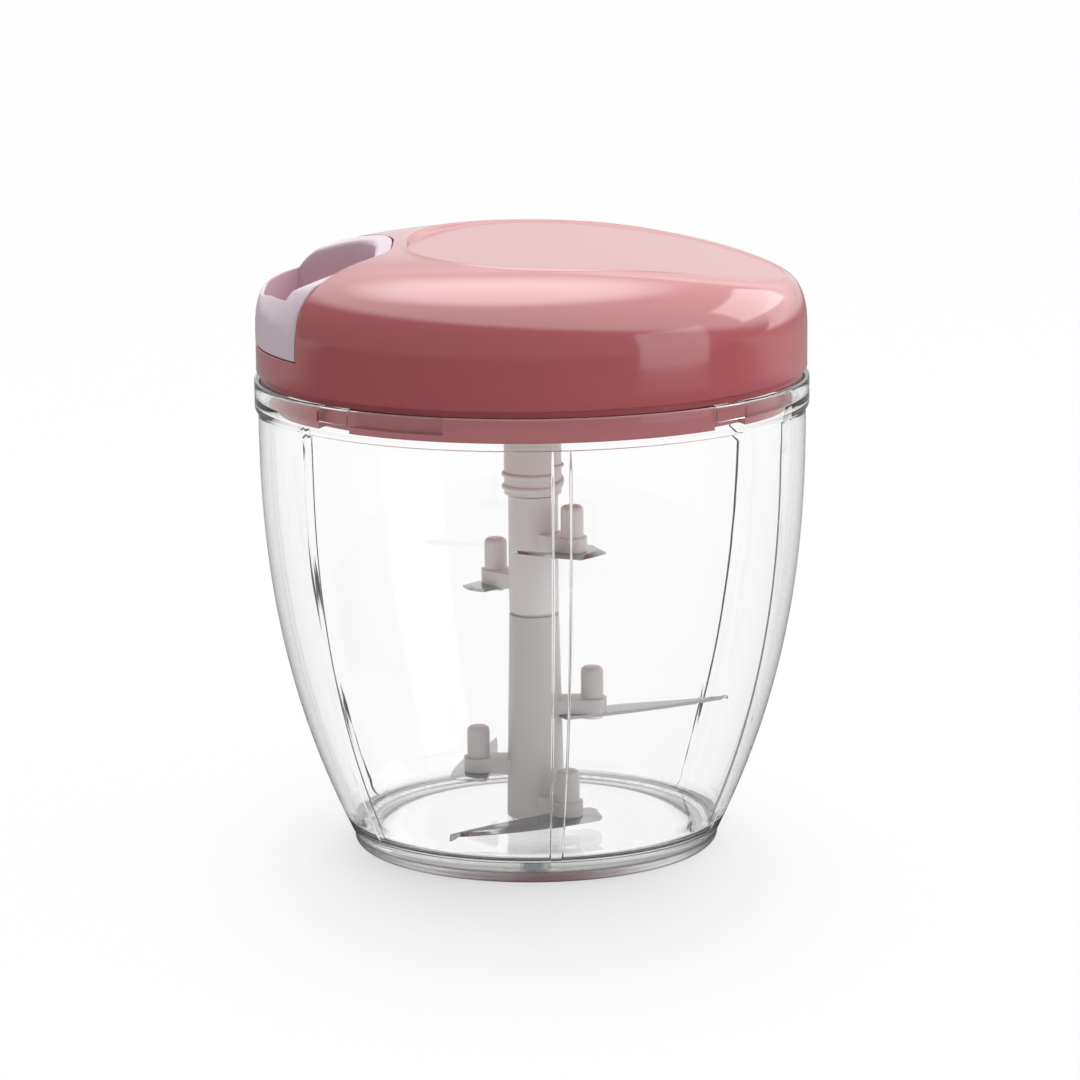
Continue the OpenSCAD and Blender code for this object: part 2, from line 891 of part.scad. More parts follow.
module reel() {
    color(reel_white)
        difference() {
            union() {
                post(reel_radius, reel_low, cup_floor);
                ring(cup_radius, drum_radius, reel_low, drum_top);
                post(axle_boss_radius, reel_low, axle_boss_top);
                post(hub_radius, hub_low, cup_floor);
            }
            post(axle_radius + run_fit, axle_low, axle_boss_top + overlap);
            translate([0, 0, hub_low - overlap])
                cylinder(r = tenon_radius + slip_fit, h = tenon_height + part_gap + overlap, $fn = 6);
            post(screw_radius, hub_low - overlap, axle_low - overlap);
        }
}

module reel_cap() {
    hole = arbor_radius + overlap;
    color(reel_white)
        union() {
            ring(hole, reel_radius, drum_top, drum_top + reel_flange);
            ring(cup_radius - cap_lip, cup_radius - slip_fit, drum_top - cap_lip, drum_top + reel_flange / 2);
        }
}

module cord_winding() {
    color(cord_white)
        ring(drum_radius + run_fit, wound_radius, cup_floor + part_gap, drum_top - part_gap);
}

module drive_sleeve() {
    color(shaft_white)
        difference() {
            union() {
                post(sleeve_radius, sleeve_low, sleeve_top);
                translate([0, 0, sleeve_top - overlap])
                    cylinder(r = tenon_radius, h = tenon_height + overlap, $fn = 6);
                for (z = [bead_first, bead_second])
                    rotate_extrude()
                        translate([sleeve_radius, sleeve_low + z])
                            circle(r = bead_radius);
            }
            difference() {
                post(socket_radius, sleeve_low - overlap, socket_top);
                for (s = [-1, 1])
                    translate([-tang_width / 2, s > 0 ? dog_inner : -sleeve_radius, tang_low + overlap])
                        cube([tang_width, sleeve_radius - dog_inner, dog_length]);
            }
            post(screw_radius + slip_fit, socket_top - overlap, sleeve_top + tenon_height + overlap);
        }
}

module sleeve_screw() {
    color(steel)
        union() {
            post(sleeve_screw_head, socket_top - screw_head_height, socket_top);
            post(screw_radius, socket_top - overlap, axle_low - 2 * overlap);
        }
}

module pull_handle() {
    color(pale_pink)
        difference() {
            intersection() {
                lid_turned(0, flange_top, handle_power);
                crown(handle_fall, crown_shift, crown_z);
                translate([0, 0, handle_bottom])
                    linear_extrude(lid_shoulder * 2)
                        handle_plan(0);
            }
            translate([0, 0, handle_bottom - overlap])
                linear_extrude(lid_shoulder * 2)
                    opening_plan();
            rod_along_x(cord_radius + slip_fit, handle_inner - overlap, opening_inner + overlap);
            rod_along_x(stopper_radius + slip_fit, stopper_seat, opening_inner + overlap);
        }
}

module cord_stopper() {
    color(brass) rod_along_x(stopper_radius, stopper_seat, stopper_seat + stopper_length);
}

module pull_cord() {
    color(cord_white) rod_along_x(cord_radius, dock_face, stopper_seat);
}

bowl();
pivot_pin();
lower_shaft();
upper_shaft();
lower_rivets();
upper_rivets();
blade_1();
blade_2();
blade_3();
blade_4();
blade_5();
axle_pin();
lid_cover();
lid_base();
lid_screws();
bearing_bush();
cord_eyelet();
cord_lead();
rewind_spring();
reel();
reel_cap();
cord_winding();
drive_sleeve();
sleeve_screw();
pull_handle();
cord_stopper();
pull_cord();
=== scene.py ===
"""Looks of a pull-string food chopper: clear bowl, rose lid with a cord reel, ring handle, blade shaft."""

import logging
import math
from dataclasses import dataclass
from enum import Enum

import bpy
from mathutils import Matrix, Vector


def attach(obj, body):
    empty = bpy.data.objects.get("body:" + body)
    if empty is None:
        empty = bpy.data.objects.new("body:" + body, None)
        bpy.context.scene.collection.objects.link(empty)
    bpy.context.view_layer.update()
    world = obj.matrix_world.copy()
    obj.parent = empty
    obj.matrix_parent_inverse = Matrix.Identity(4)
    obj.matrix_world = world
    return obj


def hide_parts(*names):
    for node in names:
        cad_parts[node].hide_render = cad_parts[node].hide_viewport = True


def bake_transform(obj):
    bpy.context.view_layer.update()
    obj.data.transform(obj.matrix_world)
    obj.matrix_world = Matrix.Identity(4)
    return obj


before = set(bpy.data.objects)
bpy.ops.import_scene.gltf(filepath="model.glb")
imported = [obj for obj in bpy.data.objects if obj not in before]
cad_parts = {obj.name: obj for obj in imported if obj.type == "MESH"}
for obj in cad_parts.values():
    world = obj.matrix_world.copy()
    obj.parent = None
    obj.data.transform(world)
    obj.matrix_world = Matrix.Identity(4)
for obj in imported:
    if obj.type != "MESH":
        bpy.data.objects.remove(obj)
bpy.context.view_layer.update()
MM = 0.001
log = logging.getLogger("chopper")

Point = tuple[float, float, float]
Colour = tuple[float, float, float, float]


class Body(Enum):
    """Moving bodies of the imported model."""

    BOWL = "bowl"
    BLADES = "blade_set"
    LID = "lid"
    REEL = "reel"
    HANDLE = "handle"


def linear(hex_colour: str) -> Colour:
    """Turns an sRGB hex colour into linear red, green, blue and alpha.

    Args:
        hex_colour: Colour such as "#C9757B".

    Returns:
        Linear colour with full alpha.
    """
    parts = [int(hex_colour[i:i + 2], 16) / 255 for i in (1, 3, 5)]
    red, green, blue = (c / 12.92 if c <= 0.04045 else ((c + 0.055) / 1.055) ** 2.4 for c in parts)
    return red, green, blue, 1.0


def add_node(tree: bpy.types.NodeTree, kind: str, settings: dict | None = None,
             inputs: dict | None = None) -> bpy.types.Node:
    """Adds a node with its settings, values and links.

    Args:
        tree: Node tree that gets the node.
        kind: Type name of the node.
        settings: Attributes of the node.
        inputs: Value, or socket to link, for each named or numbered input.

    Returns:
        The new node.
    """
    node = tree.nodes.new(kind)
    for name, value in (settings or {}).items():
        setattr(node, name, value)
    for name, value in (inputs or {}).items():
        if isinstance(value, bpy.types.NodeSocket):
            tree.links.new(value, node.inputs[name])
        else:
            node.inputs[name].default_value = value
    return node


def new_material(name: str) -> tuple[bpy.types.Material, bpy.types.NodeTree]:
    """Makes an empty node material.

    Args:
        name: Name of the real material.

    Returns:
        The material and its node tree.
    """
    material = bpy.data.materials.new(name)
    material.use_nodes = True
    material.node_tree.nodes.clear()
    return material, material.node_tree


def dress(piece: bpy.types.Object, material: bpy.types.Material) -> None:
    """Gives a piece one material all over.

    Args:
        piece: Mesh object.
        material: Its finish.
    """
    piece.data.materials.clear()
    piece.data.materials.append(material)


@dataclass(frozen=True)
class MouldedPlastic:
    """Opaque injection-moulded plastic: even colour, soft gloss, a faint orange peel drawn as coarse as it must be."""

    name: str
    colour: str
    flow_colour: str
    roughness: float
    peel_mm: float = 1.6
    peel_depth_mm: float = 0.004
    flow_mm: float = 45.0
    edge_mm: float = 0.35
    index: float = 1.5
    gloss_range: tuple[float, float] = (0.8, 1.2)

    def material(self) -> bpy.types.Material:
        """Builds the material: flow marks in the colour, peel in the bump, rounded edges in the normal.

        Returns:
            The material.
        """
        material, tree = new_material(self.name)
        place = add_node(tree, "ShaderNodeTexCoord").outputs["Object"]
        flow = add_node(tree, "ShaderNodeTexNoise", None,
                        {"Vector": place, "Scale": 1 / (self.flow_mm * MM), "Detail": 3.0, "Roughness": 0.45})
        tint = add_node(tree, "ShaderNodeMix", {"data_type": "RGBA"},
                        {0: flow.outputs["Fac"], 6: linear(self.colour), 7: linear(self.flow_colour)})
        peel = add_node(tree, "ShaderNodeTexNoise", None,
                        {"Vector": place, "Scale": 1 / (self.peel_mm * MM), "Detail": 4.0, "Roughness": 0.6})
        bright, dull = (self.roughness * part for part in self.gloss_range)
        gloss = add_node(tree, "ShaderNodeMapRange", None,
                         {"Value": peel.outputs["Fac"], "To Min": bright, "To Max": dull})
        edge = add_node(tree, "ShaderNodeBevel", {"samples": 4}, {"Radius": self.edge_mm * MM})
        bump = add_node(tree, "ShaderNodeBump", None,
                        {"Strength": 0.5, "Distance": self.peel_depth_mm * MM, "Height": peel.outputs["Fac"],
                         "Normal": edge.outputs["Normal"]})
        shader = add_node(tree, "ShaderNodeBsdfPrincipled", None,
                          {"Base Color": tint.outputs[2], "Roughness": gloss.outputs["Result"], "IOR": self.index,
                           "Normal": bump.outputs["Normal"]})
        add_node(tree, "ShaderNodeOutputMaterial", None, {"Surface": shader.outputs["BSDF"]})
        return material


@dataclass(frozen=True)
class ClearPlastic:
    """Clear polystyrene-type moulding: polished, water-white, with a faint draw in the wall, a worn foot ring painted
    grey as shade, and a painted contact shadow at its sole.
    """

    name: str = "clear_styrene_acrylonitrile"
    colour: str = "#FFFFFF"
    roughness: float = 0.015
    scuffed: float = 0.3
    shaded_foot_colour: str = "#B4B2B2"
    contact_shadow_colour: str = "#454343"
    shadow_colour: str = "#E6E8E8"
    foot_mm: float = 4.8
    foot_ring_mm: float = 36.5
    foot_edge_mm: float = 2.0
    contact_shadow_mm: float = 0.8
    contact_shadow_full_mm: float = 0.3
    index: float = 1.5
    draw_mm: float = 16.0
    draw_depth_mm: float = 0.03
    depth_colour: str = "#8E9090"
    depth_per_m: float = 7.0

    def material(self) -> bpy.types.Material:
        """Builds the material: full transmission, long soft waves of the wall in the bump, grey in its depth, painted
        shade on the foot ring and a painted contact shadow at its sole.

        Returns:
            The material.
        """
        material, tree = new_material(self.name)
        place = add_node(tree, "ShaderNodeTexCoord").outputs["Object"]
        draw = add_node(tree, "ShaderNodeTexNoise", None,
                        {"Vector": place, "Scale": 1 / (self.draw_mm * MM), "Detail": 2.0})
        bump = add_node(tree, "ShaderNodeBump", None,
                        {"Strength": 0.35, "Distance": self.draw_depth_mm * MM, "Height": draw.outputs["Fac"]})
        height = add_node(tree, "ShaderNodeSeparateXYZ", None, {0: place}).outputs["Z"]
        flat = add_node(tree, "ShaderNodeVectorMath", {"operation": "MULTIPLY"}, {0: place, 1: (1.0, 1.0, 0.0)})
        reach = add_node(tree, "ShaderNodeVectorMath", {"operation": "LENGTH"}, {0: flat.outputs["Vector"]})
        # The foot ring is scuffed, which makes it matt, and is painted greyer as shade; its sole has a painted contact
        # shadow, darkest of all.
        ring = add_node(tree, "ShaderNodeMapRange", {"interpolation_type": "SMOOTHSTEP"},
                        {"Value": reach.outputs["Value"], "From Min": self.foot_ring_mm * MM,
                         "From Max": (self.foot_ring_mm + self.foot_edge_mm) * MM})
        low = add_node(tree, "ShaderNodeMapRange", {"interpolation_type": "SMOOTHSTEP"},
                       {"Value": height, "From Min": self.foot_mm * MM, "From Max": self.foot_mm / 2 * MM})
        worn_and_shaded = add_node(tree, "ShaderNodeMath", {"operation": "MULTIPLY"},
                        {0: ring.outputs["Result"], 1: low.outputs["Result"]})
        gloss = add_node(tree, "ShaderNodeMix", {"data_type": "FLOAT"},
                         {0: worn_and_shaded.outputs["Value"], 2: self.roughness, 3: self.scuffed})
        # Painted shade: the foot ring's colour turns grey.
        grey = add_node(tree, "ShaderNodeMix", {"data_type": "RGBA"},
                        {0: worn_and_shaded.outputs["Value"], 6: linear(self.colour), 7: linear(self.shaded_foot_colour)})
        # Painted contact shadow: the lowest part of the foot is painted near black.
        contact_shadow = add_node(tree, "ShaderNodeMapRange", None,
                        {"Value": height, "From Min": self.contact_shadow_mm * MM, "From Max": self.contact_shadow_full_mm * MM})
        tint = add_node(tree, "ShaderNodeMix", {"data_type": "RGBA"},
                        {0: contact_shadow.outputs["Result"], 6: grey.outputs[2], 7: linear(self.contact_shadow_colour)})
        shader = add_node(tree, "ShaderNodeBsdfPrincipled", None,
                          {"Base Color": tint.outputs[2], "Roughness": gloss.outputs[0], "IOR": self.index,
                           "Transmission Weight": 1.0, "Normal": bump.outputs["Normal"]})
        # Lamps shine through the walls, which keeps the shadow pale.
        path = add_node(tree, "ShaderNodeLightPath")
        open_way = add_node(tree, "ShaderNodeBsdfTransparent", None, {"Color": linear(self.shadow_colour)})
        lit = add_node(tree, "ShaderNodeMixShader", None,
                       {0: path.outputs["Is Shadow Ray"], 1: shader.outputs["BSDF"], 2: open_way.outputs["BSDF"]})
        depth = add_node(tree, "ShaderNodeVolumeAbsorption", None,
                         {"Color": linear(self.depth_colour), "Density": self.depth_per_m})
        add_node(tree, "ShaderNodeOutputMaterial", None,
                 {"Surface": lit.outputs["Shader"], "Volume": depth.outputs["Volume"]})
        return material


@dataclass(frozen=True)
class GroundMetal:
    """Ground, drawn or turned metal: bright, with fine tool lines along it."""

    name: str
    colour: str
    roughness: float
    line_mm: float = 0.5
    line_depth_mm: float = 0.01
    stretch: float = 30.0
    along_uv: bool = False
    uv_lines: float = 40.0
    uv_stretch: float = 7.5
    gloss_range: tuple[float, float] = (0.6, 1.5)

    def material(self) -> bpy.types.Material:
        """Builds the material: tool lines in roughness and bump, drawn coarser than real so that they show.

        Returns:
            The material.
        """
        material, tree = new_material(self.name)
        place = add_node(tree, "ShaderNodeTexCoord").outputs["UV" if self.along_uv else "Object"]
        along = (self.uv_lines, self.uv_lines * self.uv_stretch, 1.0)
        scale = along if self.along_uv else (1.0, 1.0, self.stretch)
        lie = add_node(tree, "ShaderNodeMapping", None, {"Vector": place, "Scale": scale})
        lines = add_node(tree, "ShaderNodeTexNoise", None,
                         {"Vector": lie.outputs["Vector"], "Detail": 4.0,
                          "Scale": 1.0 if self.along_uv else 1 / (self.line_mm * self.stretch * MM)})
        bright, dull = (self.roughness * part for part in self.gloss_range)
        gloss = add_node(tree, "ShaderNodeMapRange", None,
                         {"Value": lines.outputs["Fac"], "To Min": bright, "To Max": dull})
        bump = add_node(tree, "ShaderNodeBump", None,
                        {"Strength": 0.25, "Distance": self.line_depth_mm * MM, "Height": lines.outputs["Fac"]})
        shader = add_node(tree, "ShaderNodeBsdfPrincipled", None,
                          {"Base Color": linear(self.colour), "Metallic": 1.0, "Roughness": gloss.outputs["Result"],
                           "Normal": bump.outputs["Normal"]})
        add_node(tree, "ShaderNodeOutputMaterial", None, {"Surface": shader.outputs["BSDF"]})
        return material


@dataclass(frozen=True)
class BraidedCord:
    """Braided polyester cord: pale crossing strands with a soft sheen."""

    name: str = "braided_polyester"
    colour: str = "#F2EFE8"
    shaded_gap_colour: str = "#BDB7AB"
    plait_mm: float = 1.1
    # A wave texture of scale 1 repeats about every 0.32, so this gives one wave to a plait.
    wave_period: float = 0.32
    plait_depth_mm: float = 0.1
    lean: tuple[float, float] = (0.7, 0.8)

    def material(self) -> bpy.types.Material:
        """Builds the material: two crossing waves give the plait, drawn coarser than real so that it shows.

        Returns:
            The material.
        """
        material, tree = new_material(self.name)
        place = add_node(tree, "ShaderNodeTexCoord").outputs["Object"]
        waves = []
        for side in (1.0, -1.0):
            lie = add_node(tree, "ShaderNodeMapping", None,
                           {"Vector": place, "Rotation": (side * self.lean[0], 0.0, side * self.lean[1])})
            wave = add_node(tree, "ShaderNodeTexWave", {"wave_type": "BANDS"},
                            {"Vector": lie.outputs["Vector"], "Scale": self.wave_period / (self.plait_mm * MM)})
            waves.append(wave.outputs["Fac"])
        plait = add_node(tree, "ShaderNodeMath", {"operation": "MAXIMUM"}, dict(enumerate(waves))).outputs["Value"]
        # The gaps between the strands are painted darker, as shade.
        tint = add_node(tree, "ShaderNodeMix", {"data_type": "RGBA"},
                        {0: plait, 6: linear(self.shaded_gap_colour), 7: linear(self.colour)})
        bump = add_node(tree, "ShaderNodeBump", None,
                        {"Strength": 0.6, "Distance": self.plait_depth_mm * MM, "Height": plait})
        shader = add_node(tree, "ShaderNodeBsdfPrincipled", None,
                          {"Base Color": tint.outputs[2], "Roughness": 0.75, "Sheen Weight": 0.3,
                           "Normal": bump.outputs["Normal"]})
        add_node(tree, "ShaderNodeOutputMaterial", None, {"Surface": shader.outputs["BSDF"]})
        return material


# Polished rose ABS: the eye gets a deep, even pink with a wide, clear mirror of the bright ceiling. Its index is
# higher than that of real ABS, for the strong gloss that the photograph shows.
ROSE = MouldedPlastic("rose_abs_moulding", "#C9696F", "#C5666C", 0.1, index=2.1)
# Unpolished rose ABS of the lid's base: matt, and painted a shade darker than the lid's pink, so that it stays dark
# behind the clear rim.
ROSE_SHADED_INNER = MouldedPlastic("rose_abs_shaded_inner_moulding", "#C4636A", "#C06067", 0.3)
# Pale lilac-pink ABS of the handle: a soft satin face with a faint cool tone.
PALE = MouldedPlastic("pale_pink_abs_moulding", "#F0DBE7", "#ECD6E3", 0.24)
# Warm white polypropylene of the upper shaft and the sleeve: satin, a little waxy.
SHAFT = MouldedPlastic("warm_white_polypropylene", "#EAE7E5", "#E5E1DE", 0.38)
# Polypropylene of the lower shaft: the upper shaft's warm white painted greyer as shade, because the lower shaft looks
# darker than the upper one in the photograph.
SHADED_LOWER_SHAFT = MouldedPlastic("shaded_white_polypropylene", "#D3D0CE", "#CECAC8", 0.38)
# White acetal of the reel and the bush: dull, slightly yellow bearing plastic.
REEL_WHITE = MouldedPlastic("white_acetal", "#E4E3DE", "#DDDBD5", 0.42)
# Polished stainless sheet of the blades: a mirror with long grinding lines, dark where it mirrors the room.
BLADE = GroundMetal("polished_stainless_sheet", "#A3A4A7", 0.14, along_uv=True)
# Drawn steel of pins, screws, rivets and spring: grey metal with fine lines.
STEEL = GroundMetal("drawn_steel_rod", "#DADADB", 0.35)
# Turned brass of the eyelet and the stopper: warm yellow metal.
BRASS = GroundMetal("turned_brass", "#C9A65B", 0.28)
# Clear styrene-acrylonitrile of the bowl: water-white walls with dark lines at their edges, a foot painted grey as
# shade and a painted contact shadow under it.
CLEAR = ClearPlastic()
# Braided polyester of the cord: off-white, dull, with painted shade darkening the gaps between the strands.
BRAID = BraidedCord()


def select_only(piece: bpy.types.Object) -> None:
    """Makes a piece the only selected and active object.

    Args:
        piece: Object to select.
    """
    bpy.ops.object.select_all(action="DESELECT")
    piece.select_set(True)
    bpy.context.view_layer.objects.active = piece


def wrap_grid(name: str, rings: list[list[Point]], closed_rings: bool = True,
              closed_ends: bool = False) -> bpy.types.Object:
    """Shapes a flat grid into a skin through rings of points and merges its seams.

    Args:
        name: Name of the piece.
        rings: Rings of equally many points in millimetres, from one end of the skin to the other.
        closed_rings: Whether each ring closes on itself.
        closed_ends: Whether the last ring joins the first, as on a hoop.

    Returns:
        The piece, with its faces turned outwards.
    """
    rows = [list(ring) + ([ring[0]] if closed_rings else []) for ring in rings]
    if closed_ends:
        rows.append(rows[0])
    bpy.ops.object.select_all(action="DESELECT")
    bpy.ops.mesh.primitive_grid_add(x_subdivisions=len(rows[0]) - 1, y_subdivisions=len(rows) - 1, size=1.0)
    piece = bpy.context.active_object
    piece.name = name
    flat = [value * MM for row in rows for point in row for value in point]
    piece.data.vertices.foreach_set("co", flat)
    piece.data.update()
    return close_up(piece)


def close_up(piece: bpy.types.Object, reach_mm: float = 0.0005) -> bpy.types.Object:
    """Merges doubled points, drops empty faces and turns all faces outwards.

    Args:
        piece: Piece to mend.
        reach_mm: Distance under which two points are one.

    Returns:
        The same piece.
    """
    select_only(piece)
    bpy.ops.object.mode_set(mode="EDIT")
    bpy.ops.mesh.select_all(action="SELECT")
    bpy.ops.mesh.remove_doubles(threshold=reach_mm * MM)
    bpy.ops.mesh.dissolve_degenerate(threshold=reach_mm * MM / 10)
    bpy.ops.mesh.normals_make_consistent(inside=False)
    bpy.ops.object.mode_set(mode="OBJECT")
    return piece


def cap_ends(piece: bpy.types.Object) -> bpy.types.Object:
    """Closes the open ends of a skin with flat faces.

    Args:
        piece: Skin with open ends.

    Returns:
        The same piece, closed.
    """
    select_only(piece)
    bpy.ops.object.mode_set(mode="EDIT")
    bpy.ops.mesh.select_all(action="DESELECT")
    bpy.ops.mesh.select_non_manifold(extend=False)
    bpy.ops.mesh.edge_face_add()
    bpy.ops.mesh.select_all(action="SELECT")
    bpy.ops.mesh.normals_make_consistent(inside=False)
    bpy.ops.object.mode_set(mode="OBJECT")
    return piece


def cut(piece: bpy.types.Object, tool: bpy.types.Object) -> bpy.types.Object:
    """Cuts a piece with a tool body and takes the tool away.

    Args:
        piece: Piece that is cut.
        tool: Closed mesh that cuts it.

    Returns:
        The cut piece.
    """
    select_only(piece)
    modifier = piece.modifiers.new("cut", "BOOLEAN")
    modifier.operation = "DIFFERENCE"
    modifier.solver = "EXACT"
    modifier.object = tool
    bpy.ops.object.modifier_apply(modifier=modifier.name)
    bpy.data.objects.remove(tool, do_unlink=True)
    return piece


def smooth(piece: bpy.types.Object, degrees: float = 30.0) -> bpy.types.Object:
    """Shades a piece smooth, with edges sharper than an angle left crisp.

    Args:
        piece: Piece to shade.
        degrees: Angle above which an edge stays sharp.

    Returns:
        The same piece.
    """
    select_only(piece)
    bpy.ops.object.shade_smooth_by_angle(angle=math.radians(degrees))
    return piece


def circle(count: int) -> list[float]:
    """Lists evenly spaced angles round a full circle, in radians."""
    return [2 * math.pi * i / count for i in range(count)]


def from_nearest(degrees: float, first: float, count: int) -> float:
    """Gives the angle between a place and the nearest of evenly spaced marks, in degrees."""
    spacing = 360 / count
    return abs((degrees - first + spacing / 2) % spacing - spacing / 2)


def soft_step(share: float) -> float:
    """Turns a share into a soft step from 0 to 1, held at both ends."""
    held = min(1.0, max(0.0, share))
    return held * held * (3 - 2 * held)


def settle(piece: bpy.types.Object, body: Body, slot: str, material: bpy.types.Material,
           *nodes: str) -> bpy.types.Object:
    """Puts a finished piece on its body in place of CAD nodes.

    Args:
        piece: Finished piece.
        body: Body it moves with.
        slot: Not used.
        material: Its finish.
        nodes: CAD nodes that it stands for.

    Returns:
        The same piece.
    """
    dress(piece, material)
    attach(piece, body.value)
    if nodes:
        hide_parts(*nodes)
    log.info("%s: %d faces on %s", piece.name, len(piece.data.polygons), body.value)
    return piece


@dataclass
class Bowl:
    """Clear bowl: foot ring, curved wall with ribs, rim band with locking lugs. Sizes in millimetres."""

    height: float = 112.0
    rim_radius: float = 65.0
    rim_height: float = 7.4
    rim_step: float = 0.8
    foot_radius: float = 43.3
    foot_height: float = 2.0
    foot_width: float = 4.0
    curve: float = 2.4
    wall: float = 2.4
    floor: float = 5.2
    fillet: float = 4.0
    pin_hole: float = 3.02
    boss_radius: float = 5.4
    rib_angle: int = 36
    rib_count: int = 6
    rib_depth: float = 0.4
    rib_half_angle: float = 2.1
    rib_edge_angle: float = 0.5
    lug_angle: int = 45
    lug_count: int = 4
    lug_half_angle: float = 4.4
    lug_edge_angle: float = 0.3
    lug_depth: float = 0.6
    lug_edge: float = 0.12
    lug_low: float = 108.0
    lug_high: float = 110.4
    column_angle: float = 1.5
    column_gap: float = 0.25
    edge_columns: int = 5
    foot_round: float = 1.2
    foot_bevel: float = 0.8
    rim_round: float = 0.7
    rim_foot: tuple[tuple[float, float], ...] = ((0.5, 0.12), (0.12, 0.35), (0.0, 0.8), (0.0, 2.5), (0.0, 5.0))
    wall_steps: int = 44
    rib_gap: float = 1.0
    rib_fade_top: float = 6.0
    rib_fade_floor: float = 1.5
    hole_low: float = 0.95
    hole_cone: float = 0.05
    axis_share: float = 0.02
    boss_low: float = 0.5
    boss_bevel: float = 0.3
    boss_fillet: float = 0.4
    floor_rings: tuple[float, ...] = (15.0, 25.0, 33.0)
    weld: float = 0.02

    def wall_at(self, z: float) -> float:
        """Gives the outer radius of the wall at a height.

        Args:
            z: Height above the table.

        Returns:
            Radius in millimetres.
        """
        top = self.height - self.rim_height
        share = max(0.0, 1 - (z - self.foot_height) / (top - self.foot_height))
        wall_radius = self.rim_radius - self.rim_step
        return wall_radius - (wall_radius - self.foot_radius) * share ** self.curve

    def profile(self) -> list[tuple[float, float]]:
        """Lists the closed outline of the bowl's section, radius and height, from the foot round to the floor.

        Returns:
            Pairs of radius and height.
        """
        top = self.height - self.rim_height
        inner = self.rim_radius - self.wall
        foot_inner = self.foot_radius - self.foot_width
        # Foot ring: underside and round outer edge.
        line = [(foot_inner + self.foot_bevel, 0.0)]
        line += [(self.foot_radius - self.foot_round + self.foot_round * math.sin(a),
                  self.foot_round - self.foot_round * math.cos(a)) for a in map(math.radians, range(0, 91, 15))]
        # Outer wall, the step out to the rim band, and the band's two round upper edges.
        rise = top - self.foot_height
        heights = [self.foot_height + rise * i / self.wall_steps for i in range(self.wall_steps + 1)]
        line += [(self.wall_at(z), z) for z in heights]
        line += [(self.rim_radius - back, top + up) for back, up in self.rim_foot]
        for middle, first in ((self.rim_radius - self.rim_round, 0), (inner + self.rim_round, 90)):
            line += [(middle + self.rim_round * math.cos(a),
                      self.height - self.rim_round + self.rim_round * math.sin(a))
                     for a in map(math.radians, range(first, first + 91, 18))]
        # Inner wall: levels of the lugs' edges, then the wall down to the fillet at the floor.
        line += [(inner, self.lug_high + part * self.lug_edge) for part in (1, 0, -1, -3)]
        line += [(inner, self.lug_low + part * self.lug_edge) for part in (3, 1, 0, -1)]
        low, high = self.floor + self.fillet, top + 0.4
        levels = [high - (high - low) * i / self.wall_steps for i in range(self.wall_steps + 1)]
        line += [(self.wall_at(min(z, top)) - self.wall, z) for z in levels]
        corner = self.wall_at(low) - self.wall - self.fillet
        line += [(corner + self.fillet * math.cos(a), low - self.fillet * math.sin(a))
                 for a in map(math.radians, range(15, 91, 15))]
        # Floor, the pin's blind hole and the boss under it.
        axis = self.pin_hole * self.axis_share
        line += [(r, self.floor) for r in (corner * 0.75, corner * 0.5, corner * 0.25, self.pin_hole + 1.5)]
        line += [(self.pin_hole, self.floor), (self.pin_hole, self.hole_low), (axis, self.hole_low - self.hole_cone)]
        line += [(axis, self.boss_low), (self.boss_radius - self.boss_bevel, self.boss_low)]
        line += [(self.boss_radius, self.boss_low + self.boss_bevel)]
        line += [(self.boss_radius, self.foot_height - self.boss_fillet)]
        line += [(self.boss_radius + self.boss_fillet, self.foot_height)]
        # Underside, out to the foot ring's inner edge.
        line += [(r, self.foot_height) for r in self.floor_rings]
        line += [(foot_inner - 2.0, self.foot_height), (foot_inner - 1.2, self.foot_height - 0.3)]
        line += [(foot_inner - 0.2, 0.7), (foot_inner + 0.2, 0.2)]
        return line

    def push(self, degrees: float, radius: float, z: float) -> float:
        """Says how far a point of the inner wall stands in, for the ribs and the lugs.

        Args:
            degrees: Angle of the point round the axis.
            radius: Its distance from the axis.
            z: Its height.

        Returns:
            Distance towards the axis in millimetres.
        """
        top = self.height - self.rim_height
        inside = radius < self.wall_at(min(max(z, self.foot_height), top)) - self.wall * 0.6
        if inside and self.floor + 0.05 < z <= top and radius > self.foot_radius * 0.8:
            away = from_nearest(degrees, self.rib_angle, self.rib_count)
            fade = min(1.0, max(0.0, (top - self.rib_gap - z) / self.rib_fade_top))
            fade *= min(1.0, (z - self.floor) / self.rib_fade_floor)
            return self.rib_depth * fade * soft_step((self.rib_half_angle - away) / self.rib_edge_angle)
        step = self.lug_edge * 0.9
        on_band = abs(radius - (self.rim_radius - self.wall)) < 0.01
        if on_band and self.lug_low + step <= z <= self.lug_high - step:
            away = from_nearest(degrees, self.lug_angle, self.lug_count)
            return self.lug_depth * soft_step((self.lug_half_angle - away) / self.lug_edge_angle)
        return 0.0

    def columns(self) -> list[float]:
        """Lists the angles of the wall's columns in degrees, close together at the ribs and the lugs' ends.

        Returns:
            Angles in rising order.
        """
        marks = []
        for first, count, half, edge in ((self.rib_angle, self.rib_count, self.rib_half_angle, self.rib_edge_angle),
                                         (self.lug_angle, self.lug_count, self.lug_half_angle, self.lug_edge_angle)):
            marks += [first + k * 360 / count + side * (half - edge * step / self.edge_columns)
                      for k in range(count) for side in (-1, 1) for step in range(-1, self.edge_columns + 2)]
        marks = sorted(angle % 360 for angle in marks)
        plain = [k * self.column_angle for k in range(round(360 / self.column_angle))]
        free = [a for a in plain if min(abs((a - m + 180) % 360 - 180) for m in marks) > self.column_gap]
        return sorted(marks + free)

